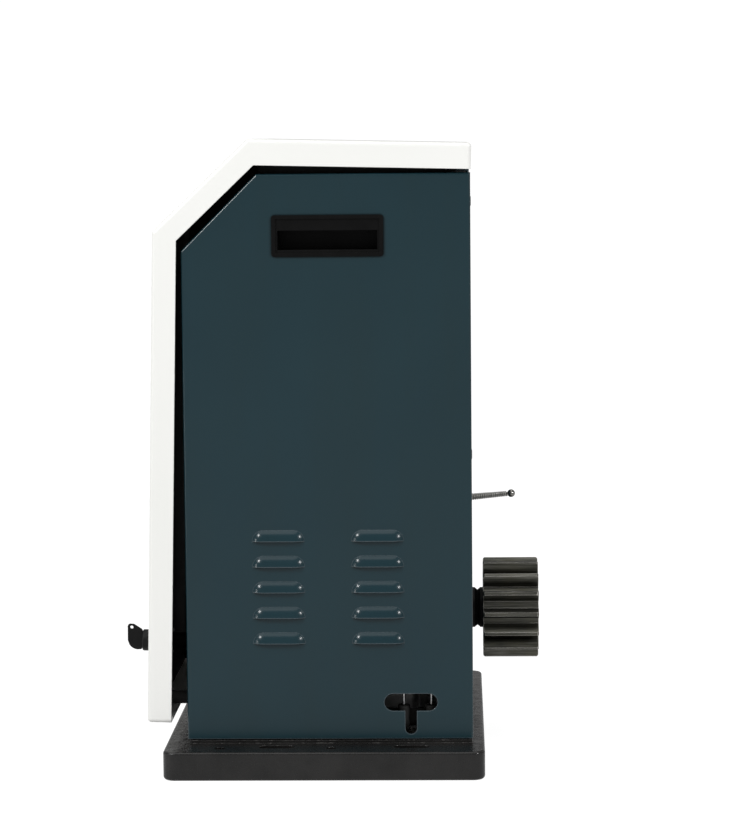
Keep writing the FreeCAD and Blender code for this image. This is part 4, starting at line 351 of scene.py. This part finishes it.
white_powder = new_finish("white_powder", specular=0.4)
white_cloud = mottle(white_powder, 180 * MM, 2.0)
white_peel = mottle(white_powder, 2.2 * MM, 1.0)
white_fleck = mottle(white_powder, 0.5 * MM, 1.0)
white_tone = tinted(white_powder, between(white_powder, white_cloud, 0.3, 0.7, 0, 1),
                    (0.84, 0.845, 0.815), (0.86, 0.86, 0.835))
set_finish(white_powder, white_tone, between(white_powder, white_cloud, 0.3, 0.7, 0.3, 0.38))
relief(white_powder, [(white_peel, 0.025 * MM), (white_fleck, 0.004 * MM)], 0.8 * MM)
white_tree = white_powder.node_tree
hood_place = white_tree.nodes.new("ShaderNodeTexCoord")
hood_parts = []
for source in (hood_place.outputs["Object"], hood_place.outputs["Normal"]):
    split = white_tree.nodes.new("ShaderNodeSeparateXYZ")
    white_tree.links.new(source, split.inputs["Vector"])
    hood_parts.append(split.outputs)
hood_at, hood_facing = hood_parts
side_reach = sums(white_powder, "ABSOLUTE", hood_at["X"], 0)
side_facing = sums(white_powder, "ABSOLUTE", hood_facing["X"], 0)
back_down = sums(white_powder, "SUBTRACT", hood_facing["Y"], hood_facing["Z"])
inner_side = sums(white_powder, "MULTIPLY", sums(white_powder, "LESS_THAN", side_reach, wall_x),
                  sums(white_powder, "GREATER_THAN", side_facing, 0.9))
inner_sheet = sums(white_powder, "GREATER_THAN", back_down, 0.5)
for source, kind, limit in ((side_reach, "LESS_THAN", wall_x - SHEET_INSET),
                            (hood_at["Y"], "LESS_THAN", hood_high.y - EDGE_MARGIN),
                            (hood_at["Z"], "GREATER_THAN", hood_low.z + EDGE_MARGIN)):
    inner_sheet = sums(white_powder, "MULTIPLY", inner_sheet, sums(white_powder, kind, source, limit))
inner_black = sums(white_powder, "MAXIMUM", inner_side, inner_sheet)
white_tone = tinted(white_powder, inner_black, white_tone, INNER_BLACK)
white_tree.links.new(white_tone, white_tree.nodes["Principled BSDF"].inputs["Base Color"])
dress(white_powder, "white_paint", "hood_shell")


# --- Hood lining ----------------------------------------------------------------------
# Black open-cell foam is glued inside the hood to keep the motor quiet. It is a die-cut
# sheet 3 mm thick. Its cut edges are soft and its face is pitted with cells.

FOAM_STEP = 7 * MM
FOAM_SINK = 0.35 * MM
FOAM_CELL = 4 * MM
SUBDIVIDE_ROUNDS = 8
WELD = 0.001 * MM


def shape_from(node, name):
    """A new object with a copy of a CAD node's mesh, its seams welded."""
    mesh = nodes[node].data.copy()
    mesh.name = name
    mesh.materials.clear()
    shape = bmesh.new()
    shape.from_mesh(mesh)
    bmesh.ops.remove_doubles(shape, verts=shape.verts, dist=WELD)
    return mesh, shape


def placed(mesh, shape, name, material, body, smooth=True):
    """Writes a shape to its mesh, and sets the piece on its body."""
    shape.normal_update()
    shape.to_mesh(mesh)
    shape.free()
    piece = bpy.data.objects.new(name, mesh)
    bpy.context.scene.collection.objects.link(piece)
    for face in mesh.polygons:
        face.use_smooth = smooth
    mesh.materials.append(material)
    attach(piece, body)
    return piece


foam_black = new_finish("foam_black", specular=0.15)
cells = mottle(foam_black, 0.9 * MM, 5.0)
foam_tone = tinted(foam_black, between(foam_black, cells, 0.35, 0.6, 0, 1), (0.003, 0.003, 0.003),
                   (0.016, 0.016, 0.017))
set_finish(foam_black, foam_tone, between(foam_black, cells, 0.3, 0.7, 0.85, 0.97))
relief(foam_black, [(cells, 0.5 * MM)])

foam_mesh, foam_shape = shape_from("hood_liner", "hood_foam")
bmesh.ops.triangulate(foam_shape, faces=foam_shape.faces)
for _ in range(SUBDIVIDE_ROUNDS):
    long_edges = [edge for edge in foam_shape.edges if edge.calc_length() > FOAM_STEP]
    if not long_edges:
        break
    bmesh.ops.subdivide_edges(foam_shape, edges=long_edges, cuts=1, use_grid_fill=False)
    many_sided = [face for face in foam_shape.faces if len(face.verts) > 3]
    bmesh.ops.triangulate(foam_shape, faces=many_sided)
foam_shape.normal_update()
for vert in foam_shape.verts:
    vert.co -= vert.normal * (FOAM_SINK * (1 + noise.noise(vert.co / FOAM_CELL)))
hood_foam = placed(foam_mesh, foam_shape, "hood_foam", foam_black, "hood")
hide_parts("hood_liner")


# --- Deck seals -----------------------------------------------------------------------
# A strip of black foam is glued along each edge of the top deck. It fills the gap under
# the closed hood, to keep leaves and driving rain away from the hinges.

SEAL_WIDTH = 8 * MM
SEAL_HEIGHT = 16 * MM
SEAL_INSET = 14 * MM
SEAL_FRONT = 1.5 * MM
SEAL_REAR = 16 * MM
SEAL_ROUND = 2 * MM
SEAL_SAG = 0.5 * MM
SAG_WAVE = 20 * MM
SEAL_CUTS = 40
CHAMFER_LENGTH = 73 * MM

deck_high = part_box("front_bulkhead")[1]
shoulder_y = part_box("side_panel_right")[0].y + CHAMFER_LENGTH
seal_start = shoulder_y + SEAL_FRONT
seal_length = deck_high.y - SEAL_REAR - seal_start
for side, name in ((1, "deck_seal_right"), (-1, "deck_seal_left")):
    seal_mesh = bpy.data.meshes.new(name)
    seal_shape = bmesh.new()
    bmesh.ops.create_cube(seal_shape, size=1)
    bmesh.ops.scale(seal_shape, verts=seal_shape.verts, vec=(SEAL_WIDTH, seal_length, SEAL_HEIGHT))
    bmesh.ops.bevel(seal_shape, geom=seal_shape.edges[:], offset=SEAL_ROUND, segments=3, affect="EDGES")
    long_edges = [edge for edge in seal_shape.edges if edge.calc_length() > seal_length / 2]
    bmesh.ops.subdivide_edges(seal_shape, edges=long_edges, cuts=SEAL_CUTS, use_grid_fill=True)
    centre = Vector((side * (deck_high.x - SEAL_INSET), seal_start + seal_length / 2,
                     deck_high.z + SEAL_HEIGHT / 2))
    for vert in seal_shape.verts:
        if vert.co.z > 0:
            vert.co.z -= SEAL_SAG * (1 + noise.noise(vert.co / SAG_WAVE))
        vert.co += centre
    seal = placed(seal_mesh, seal_shape, name, foam_black, "frame")


# --- Rubber parts ---------------------------------------------------------------------
# The hood lands on two turned rubber buffers, and the output shaft runs in a lip seal.
# Both are black nitrile rubber, with the dull bloom that such rubber has.

rubber = moulded("nitrile_rubber", (0.011, 0.011, 0.011), (0.026, 0.026, 0.026), grain=0.8 * MM,
                 depth=0.04 * MM, gloss=(0.6, 0.78))
dress(rubber, "rubber", "hood_buffers", "shaft_seal")


# --- Tray mounts ----------------------------------------------------------------------
# Two rubber mounts stand on the right-hand rail for a battery tray that may be added.
# Each is a turned rubber bush with a zinc-plated M3 stud moulded into it.

MOUNT_INSET = 20.5 * MM
MOUNTS_FROM_REAR = (59.6 * MM, 32.5 * MM)
MOUNT_HEIGHT = 30 * MM
RAIL_THICKNESS = 3 * MM
BUSH_R = 6 * MM
BUSH_WAIST = 1 * MM
BUSH_END = 4 * MM
BUSH_EDGE = 0.5 * MM
BUSH_CHAMFER = 0.6 * MM
STUD_R = 1.5 * MM
STUD_LENGTH = 24 * MM
THREAD_PITCH = 0.5 * MM
THREAD_DEPTH = 0.2 * MM


def lathe(name, profile, sides=40):
    """A turned solid about Z, from a list of (radius, height) points between its two ends."""
    shape = bmesh.new()
    rings = []
    for radius, height in profile:
        ring = []
        for n in range(sides):
            turn = 2 * math.pi * n / sides
            ring.append(shape.verts.new((radius * math.cos(turn), radius * math.sin(turn), height)))
        rings.append(ring)
    for first, second in zip(rings, rings[1:]):
        for n in range(sides):
            shape.faces.new((first[n], first[(n + 1) % sides], second[(n + 1) % sides], second[n]))
    shape.faces.new(list(reversed(rings[0])))
    shape.faces.new(rings[-1])
    return bpy.data.meshes.new(name), shape


rail_low, rail_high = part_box("chassis_rails")
mount_low = rail_low.z + RAIL_THICKNESS
mount_top = rail_low.z + MOUNT_HEIGHT
bush_profile = [(BUSH_R, mount_low), (BUSH_R, mount_low + BUSH_END),
                (BUSH_R - BUSH_WAIST, (mount_low + mount_top) / 2),
                (BUSH_R, mount_top - BUSH_END), (BUSH_R, mount_top - BUSH_EDGE),
                (BUSH_R - BUSH_CHAMFER, mount_top)]
stud_profile = [(STUD_R - THREAD_DEPTH, mount_top)]
for k in range(int(STUD_LENGTH / THREAD_PITCH)):
    height = mount_top + k * THREAD_PITCH
    stud_profile += [(STUD_R, height + THREAD_PITCH / 2), (STUD_R - THREAD_DEPTH, height + THREAD_PITCH)]
for number, setback in enumerate(MOUNTS_FROM_REAR):
    centre = (rail_high.x - MOUNT_INSET, rail_high.y - setback, 0)
    for name, profile, material, slot in (("mount_bush", bush_profile, rubber, "rubber"),
                                          ("mount_stud", stud_profile, zinc, "zinc")):
        mesh, shape = lathe(name, profile)
        bmesh.ops.translate(shape, verts=shape.verts, vec=centre)
        placed(mesh, shape, f"{name}_{number}", material, "frame")


# --- Ground steel ---------------------------------------------------------------------
# Shafts, bearings, the hinge pins and the sliding clutch are ground steel. The grinding
# leaves fine lines round them, under a film of oil.

def ground(name, dark, light, lines=0.35 * MM, stretch=(0.25, 1, 0.25), gloss=(0.18, 0.34)):
    """Ground or turned metal with fine tool lines."""
    material = new_finish(name, metallic=1.0)
    line = mottle(material, lines, 2.0, stretch=stretch)
    cloud = mottle(material, 14 * MM, 3.0)
    colour = tinted(material, between(material, line, 0.35, 0.65, 0, 1), dark, light)
    set_finish(material, colour, between(material, cloud, 0.3, 0.7, *gloss))
    relief(material, [(line, 0.012 * MM)], 0.25 * MM)
    return material


ground_steel = ground("ground_steel", (0.36, 0.36, 0.37), (0.52, 0.52, 0.53))
dress(ground_steel, "steel", "hinge_pins", "output_shaft", "pinion_key", "shaft_bearings", "worm_bearings",
      "worm_shaft", "clutch_sleeve")


# --- Lock and key ---------------------------------------------------------------------
# The barrel is black-plated brass with a bright plug. The key has a black moulded bow,
# and stands in the plug. A nut holds the barrel from inside the hood.

lock_plate = powder("lock_black_plate", (0.004, 0.004, 0.0042), (0.006, 0.006, 0.0062), gloss=(0.4, 0.5),
                    peel=0.8 * MM, depth=0.01 * MM, specular=0.22, edge=0.3 * MM)
dress(lock_plate, "lock_black", "lock_housing", "lock_nut", "shaft_collar")
plug_chrome = ground("plug_chrome", (0.5, 0.5, 0.52), (0.66, 0.66, 0.68), lines=0.2 * MM,
                     stretch=(1, 0.2, 1), gloss=(0.12, 0.2))
dress(plug_chrome, "lock_chrome", "lock_plug")
key_plastic = moulded("key_plastic", (0.003, 0.003, 0.0032), (0.006, 0.006, 0.0062), grain=0.4 * MM,
                      depth=0.015 * MM, gloss=(0.34, 0.46), specular=0.2)
dress(key_plastic, "key_black", "key")


# --- Pinion ---------------------------------------------------------------------------
# The module 6 pinion is hobbed from medium-carbon steel and blackened. The rack has
# polished the tops of its teeth and drawn long rubs along the flanks. The pale, less
# metallic colour on the tooth edges is partly that polish and partly a painted glint
# of light caught along the tooth tips.

pinion_steel = new_finish("pinion_steel")
hob_lines = mottle(pinion_steel, 1.3 * MM, 3.0, stretch=(1, 0.04, 1))
oil = mottle(pinion_steel, 12 * MM, 4.0, stretch=(1, 0.5, 1))
pits = mottle(pinion_steel, 0.7 * MM, 2.0)
pinion_tone = tinted(pinion_steel, between(pinion_steel, hob_lines, 0.35, 0.65, 0, 1),
                     (0.05, 0.051, 0.043), (0.14, 0.138, 0.12))
pinion_tone = tinted(pinion_steel, between(pinion_steel, oil, 0.45, 0.7, 0, 0.6), pinion_tone,
                     (0.1, 0.096, 0.07))
# Pale, less metallic tooth edges: partly polish, partly a painted glint along the tooth tips.
tooth_rub_and_glint = sums(pinion_steel, "MULTIPLY", edge_mask(pinion_steel, 1.1 * MM, 0.01, 0.12),
                 between(pinion_steel, oil, 0.3, 0.6, 0.45, 1))
pinion_tone = tinted(pinion_steel, tooth_rub_and_glint, pinion_tone, (0.75, 0.73, 0.68))
pinion_tree = pinion_steel.node_tree
pinion_tree.links.new(between(pinion_steel, tooth_rub_and_glint, 0, 1, 0.9, 0.3),
                      pinion_tree.nodes["Principled BSDF"].inputs["Metallic"])
set_finish(pinion_steel, pinion_tone, between(pinion_steel, oil, 0.3, 0.7, 0.27, 0.42))
relief(pinion_steel, [(hob_lines, 0.05 * MM), (pits, 0.012 * MM)], 0.5 * MM)
dress(pinion_steel, "black_steel", "pinion")


# --- Limit lever ----------------------------------------------------------------------
# A tapered spring of steel wire leans out of the back, wound on a dark core that ends
# in a polished steel ball. Two stops on the gate push it over, and its hub works the
# switches inside.

COIL_WIRE = 0.72 * MM
COIL_ROOT = 3.9 * MM
COIL_TIP = 2.85 * MM
COIL_TILT = math.radians(5)
COIL_TURNS = 27
COIL_STEPS = 28
WIRE_SIDES = 10
CORE_ROOT = 2.4 * MM
CORE_TIP = 1.5 * MM
CORE_SIDES = 24


def wire_mesh(name, path, radius, sides):
    """A closed round wire that follows a list of points."""
    shape = bmesh.new()
    rings = []
    side = Vector((1, 0, 0))
    for k, point in enumerate(path):
        ahead = (path[min(k + 1, len(path) - 1)] - path[max(k - 1, 0)]).normalized()
        side = (side - ahead * side.dot(ahead)).normalized()
        up = ahead.cross(side)
        ring = []
        for n in range(sides):
            turn = 2 * math.pi * n / sides
            reach = side * (radius * math.cos(turn)) + up * (radius * math.sin(turn))
            ring.append(shape.verts.new(point + reach))
        rings.append(ring)
    for first, second in zip(rings, rings[1:]):
        for n in range(sides):
            shape.faces.new((first[n], first[(n + 1) % sides], second[(n + 1) % sides], second[n]))
    shape.faces.new(list(reversed(rings[0])))
    shape.faces.new(rings[-1])
    return bpy.data.meshes.new(name), shape


spring_low, spring_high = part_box("lever_spring")
along = Vector((0, math.cos(COIL_TILT), math.sin(COIL_TILT)))
across = Vector((0, -math.sin(COIL_TILT), math.cos(COIL_TILT)))
spring_start = Vector((0, spring_low.y + COIL_ROOT * math.sin(COIL_TILT),
                       spring_low.z + COIL_ROOT * math.cos(COIL_TILT)))
spring_length = (spring_high.y - COIL_TIP * math.sin(COIL_TILT) - spring_start.y) / math.cos(COIL_TILT)
coil_path = []
for k in range(COIL_TURNS * COIL_STEPS + 1):
    share = k / (COIL_TURNS * COIL_STEPS)
    turn = 2 * math.pi * k / COIL_STEPS
    reach = COIL_ROOT + (COIL_TIP - COIL_ROOT) * share - COIL_WIRE
    travel = COIL_WIRE + (spring_length - 2 * COIL_WIRE) * share
    ring = Vector((1, 0, 0)) * math.cos(turn) + across * math.sin(turn)
    coil_path.append(spring_start + along * travel + ring * reach)
spring_steel = blackened("spring_steel", (0.3, 0.293, 0.28), (0.55, 0.54, 0.51), patch=3 * MM)
coil_mesh, coil_shape = wire_mesh("lever_coil", coil_path, COIL_WIRE, WIRE_SIDES)
lever_coil = placed(coil_mesh, coil_shape, "lever_coil", spring_steel, "limit_lever")
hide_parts("lever_spring")
ball_low, ball_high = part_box("lever_ball")
core_start = spring_start + along * COIL_WIRE
core_length = ((ball_low + ball_high) / 2 - core_start).length
core_profile = [(CORE_ROOT, 0), (CORE_TIP, spring_length - COIL_WIRE), (CORE_TIP, core_length)]
core_mesh, core_shape = lathe("lever_core", core_profile, CORE_SIDES)
core_turn = Vector((0, 0, 1)).rotation_difference(along).to_matrix()
bmesh.ops.rotate(core_shape, verts=core_shape.verts, matrix=core_turn)
bmesh.ops.translate(core_shape, verts=core_shape.verts, vec=core_start)
placed(core_mesh, core_shape, "lever_core", screw_black, "limit_lever")
ball_steel = ground("ball_steel", (0.2, 0.195, 0.185), (0.32, 0.31, 0.29), gloss=(0.1, 0.18))
dress(ball_steel, "black_steel", "lever_ball")


# --- Limit switch ---------------------------------------------------------------------
# The switch box is grey moulded plastic with a lid. Two small black switches stand in
# it, each with a red plunger that the lever's hub pushes.

switch_grey = moulded("switch_grey", (0.17, 0.18, 0.185), (0.21, 0.22, 0.225), grain=0.6 * MM)
dress(switch_grey, "switch_grey", "limit_box", "limit_cover")
phenolic = moulded("black_phenolic", (0.016, 0.016, 0.018), (0.03, 0.03, 0.032), grain=0.5 * MM,
                   depth=0.02 * MM, gloss=(0.3, 0.42))
dress(phenolic, "component_dark", "micro_switches", "board_components")
red_plastic = moulded("red_plastic", (0.42, 0.018, 0.012), (0.52, 0.03, 0.02), grain=0.5 * MM,
                      depth=0.015 * MM, gloss=(0.25, 0.38))
dress(red_plastic, "grip_red", "release_grip", "plunger_left", "plunger_right")


# --- Gearbox --------------------------------------------------------------------------
# The gearbox is a gravity-cast aluminium case, with machined faces where the cover and
# the motor sit. The worm wheel inside is centrifugally cast bronze.

def cast_alloy(name, dark, light, gloss=(0.42, 0.6), grain=1.2 * MM, depth=0.1 * MM):
    """Cast aluminium: dull, with the grain of the mould and slight grey staining."""
    material = new_finish(name, metallic=0.85)
    skin = mottle(material, grain, 4.0)
    cloud = mottle(material, 25 * MM, 4.0)
    colour = tinted(material, between(material, cloud, 0.35, 0.68, 0, 1), light, dark)
    rub = sums(material, "MULTIPLY", edge_mask(material, 0.8 * MM),
               between(material, skin, 0.4, 0.6, 0.2, 0.8))
    colour = tinted(material, rub, colour, (0.72, 0.72, 0.73))
    set_finish(material, colour, between(material, skin, 0.3, 0.7, *gloss))
    relief(material, [(cloud, 0.3 * MM), (skin, depth)], 0.6 * MM)
    return material


gear_case = cast_alloy("gear_case_alloy", (0.34, 0.345, 0.35), (0.5, 0.505, 0.51))
dress(gear_case, "gearbox_alloy", "gearbox_housing", "gearbox_cover")
wheel_bronze = ground("wheel_bronze", (0.5, 0.31, 0.12), (0.66, 0.44, 0.19), lines=0.5 * MM,
                      stretch=(1, 0.1, 1), gloss=(0.25, 0.4))
dress(wheel_bronze, "bronze", "worm_wheel")


# --- Motor ----------------------------------------------------------------------------
# The finned motor body is die-cast aluminium. The stator and rotor are stacks of thin
# steel sheets, and the fan is moulded nylon under its cover.

motor_case = cast_alloy("motor_case_alloy", (0.27, 0.285, 0.3), (0.39, 0.405, 0.42), gloss=(0.38, 0.52),
                        grain=0.8 * MM, depth=0.05 * MM)
dress(motor_case, "motor_alloy", "motor_housing")


WAVES_PER_UNIT = 20


def stacked(name, dark, light, sheet=0.5 * MM, axis="Z"):
    """A stack of varnished sheets, seen as thin even lines across the stack."""
    material = new_finish(name, metallic=0.7)
    tree = material.node_tree
    place = tree.nodes.new("ShaderNodeTexCoord")
    bands = tree.nodes.new("ShaderNodeTexWave")
    bands.bands_direction = axis
    bands.inputs["Scale"].default_value = 1 / (sheet * WAVES_PER_UNIT)
    bands.inputs["Distortion"].default_value = 0.4
    tree.links.new(place.outputs["Object"], bands.inputs["Vector"])
    varnish = mottle(material, 6 * MM, 3.0)
    colour = tinted(material, bands.outputs["Fac"], dark, light)
    set_finish(material, colour, between(material, varnish, 0.3, 0.7, 0.3, 0.5))
    relief(material, [(bands.outputs["Fac"], 0.08 * MM)], 0.2 * MM)
    return material


laminations = stacked("core_laminations", (0.1, 0.1, 0.11), (0.26, 0.26, 0.28))
dress(laminations, "lamination", "stator_core", "rotor_core", "transformer")
dress(gland_nylon, "black_plastic", "cooling_fan")


# --- Control board --------------------------------------------------------------------
# The board stands off a zinc tray in the upper window. It is green glass-epoxy laminate
# with tinned pads and copper tracks under the mask.

board_mask = new_finish("board_solder_mask", coat=0.4, coat_roughness=0.12)
board_tree = board_mask.node_tree
board_place = board_tree.nodes.new("ShaderNodeTexCoord")
board_turn = board_tree.nodes.new("ShaderNodeMapping")
board_turn.inputs["Rotation"].default_value = (math.radians(90), 0, 0)
board_tree.links.new(board_place.outputs["Object"], board_turn.inputs["Vector"])
tracks = board_tree.nodes.new("ShaderNodeTexBrick")
tracks.inputs["Scale"].default_value = 60.0
tracks.inputs["Mortar Size"].default_value = 0.06
tracks.inputs["Mortar Smooth"].default_value = 0.1
tracks.inputs["Color1"].default_value = (0.008, 0.085, 0.03, 1)
tracks.inputs["Color2"].default_value = (0.012, 0.11, 0.04, 1)
tracks.inputs["Mortar"].default_value = (0.03, 0.2, 0.075, 1)
board_tree.links.new(board_turn.outputs["Vector"], tracks.inputs["Vector"])
weave = mottle(board_mask, 0.8 * MM, 1.0)
board_tone = tinted(board_mask, between(board_mask, weave, 0.3, 0.7, 0, 0.3), tracks.outputs["Color"],
                    (0.01, 0.07, 0.03))
set_finish(board_mask, board_tone, between(board_mask, weave, 0.3, 0.7, 0.3, 0.42))
relief(board_mask, [(tracks.outputs["Fac"], 0.03 * MM)])
dress(board_mask, "board_green", "circuit_board")
terminal_plastic = moulded("terminal_plastic", (0.045, 0.26, 0.085), (0.06, 0.32, 0.11), grain=0.5 * MM,
                           depth=0.012 * MM, gloss=(0.34, 0.46))
dress(terminal_plastic, "terminal_green", "terminal_blocks")
can_metal = ground("drawn_can", (0.56, 0.56, 0.57), (0.7, 0.7, 0.71), lines=0.4 * MM,
                   stretch=(1, 1, 0.05), gloss=(0.28, 0.4))
dress(can_metal, "can_alloy", "run_capacitor")


# --- Studio ---------------------------------------------------------------------------
# The part stands on a wide pale floor under a soft white sky, with one broad light
# overhead, a square soft box at each end and a narrow upright strip at the hood's end.

FLOOR_RADIUS = 40.0
FLOOR_SIDES = 96
FLOOR_LIGHT = 0.42
FLOOR_SEEN = 0.9
SKY_LIGHT = 0.34
SKY_SEEN = 1.05

floor_shape = bmesh.new()
bmesh.ops.create_circle(floor_shape, cap_ends=True, segments=FLOOR_SIDES, radius=FLOOR_RADIUS)
floor_mesh = bpy.data.meshes.new("floor")
floor_shape.to_mesh(floor_mesh)
floor_shape.free()
floor = bpy.data.objects.new("floor", floor_mesh)
bpy.context.scene.collection.objects.link(floor)
floor_paper = new_finish("floor_paper", specular=0.1)
floor_shader = floor_paper.node_tree.nodes["Principled BSDF"]
floor_shader.inputs["Emission Color"].default_value = (1, 1, 1, 1)
floor_tree = floor_paper.node_tree
floor_seen = floor_tree.nodes.new("ShaderNodeLightPath")
floor_tree.links.new(between(floor_paper, floor_seen.outputs["Is Camera Ray"], 0, 1, FLOOR_LIGHT, FLOOR_SEEN),
                     floor_shader.inputs["Emission Strength"])
paper_grain = mottle(floor_paper, 4 * MM, 2.0)
set_finish(floor_paper, tinted(floor_paper, paper_grain, (0.24, 0.24, 0.24), (0.26, 0.26, 0.26)),
           between(floor_paper, paper_grain, 0.3, 0.7, 0.8, 0.9))
floor_mesh.materials.append(floor_paper)

world = bpy.data.worlds.new("studio")
bpy.context.scene.world = world
world.use_nodes = True
sky = world.node_tree
seen = sky.nodes.new("ShaderNodeLightPath")
light_sky = sky.nodes["Background"]
light_sky.inputs["Color"].default_value = (1, 1, 1, 1)
light_sky.inputs["Strength"].default_value = SKY_LIGHT
seen_sky = sky.nodes.new("ShaderNodeBackground")
seen_sky.inputs["Color"].default_value = (1, 1, 1, 1)
seen_sky.inputs["Strength"].default_value = SKY_SEEN
chosen = sky.nodes.new("ShaderNodeMixShader")
sky.links.new(seen.outputs["Is Camera Ray"], chosen.inputs["Fac"])
sky.links.new(light_sky.outputs["Background"], chosen.inputs[1])
sky.links.new(seen_sky.outputs["Background"], chosen.inputs[2])
sky.links.new(chosen.outputs["Shader"], sky.nodes["World Output"].inputs["Surface"])


def lamp(name, kind, energy, position, target, **settings):
    """A lamp at a position, turned to face a target."""
    data = bpy.data.lights.new(name, kind)
    data.energy = energy
    for key, value in settings.items():
        setattr(data, key, value)
    light = bpy.data.objects.new(name, data)
    light.location = position
    light.rotation_euler = (Vector(target) - Vector(position)).to_track_quat("-Z", "Y").to_euler()
    bpy.context.scene.collection.objects.link(light)


middle = (0, 0, 0.3)
lamp("overhead", "SUN", 0.95, (0.5, -0.2, 3.0), middle, angle=math.radians(60))
lamp("front_box", "AREA", 34, (1.7, -1.7, 1.95), middle, size=0.5)
lamp("front_strip", "AREA", 5, (1.3, -2.1, 0.35), middle, shape="RECTANGLE", size=0.16, size_y=0.7)
lamp("gate_box", "AREA", 24, (1.6, 1.9, 1.4), middle, size=0.36)


# --- Camera ---------------------------------------------------------------------------
# The camera looks at the right-hand side, a little from above and from nearly square on.
# Its lens is long, so the sides of the part stay nearly parallel.

CAMERA_PLACE = (2.8418, 0.1319, 0.6140)
CAMERA_TURN = 0.0301
CAMERA_DIP = 0.0978
CAMERA_ROLL = -0.0091
LENS_LENGTH = 122.33
SENSOR_WIDTH = 36
FAR_LIMIT = 100

camera_data = bpy.data.cameras.new("camera")
camera_data.sensor_width = SENSOR_WIDTH
camera_data.lens = LENS_LENGTH
camera_data.clip_end = FAR_LIMIT
camera = bpy.data.objects.new("camera", camera_data)
camera.matrix_world = (Matrix.Translation(CAMERA_PLACE)
                       @ Matrix.Rotation(math.pi / 2 + CAMERA_TURN, 4, "Z")
                       @ Matrix.Rotation(math.pi / 2 - CAMERA_DIP, 4, "X")
                       @ Matrix.Rotation(CAMERA_ROLL, 4, "Z"))
bpy.context.scene.collection.objects.link(camera)
bpy.context.scene.camera = camera
bpy.context.scene.view_settings.view_transform = "Standard"
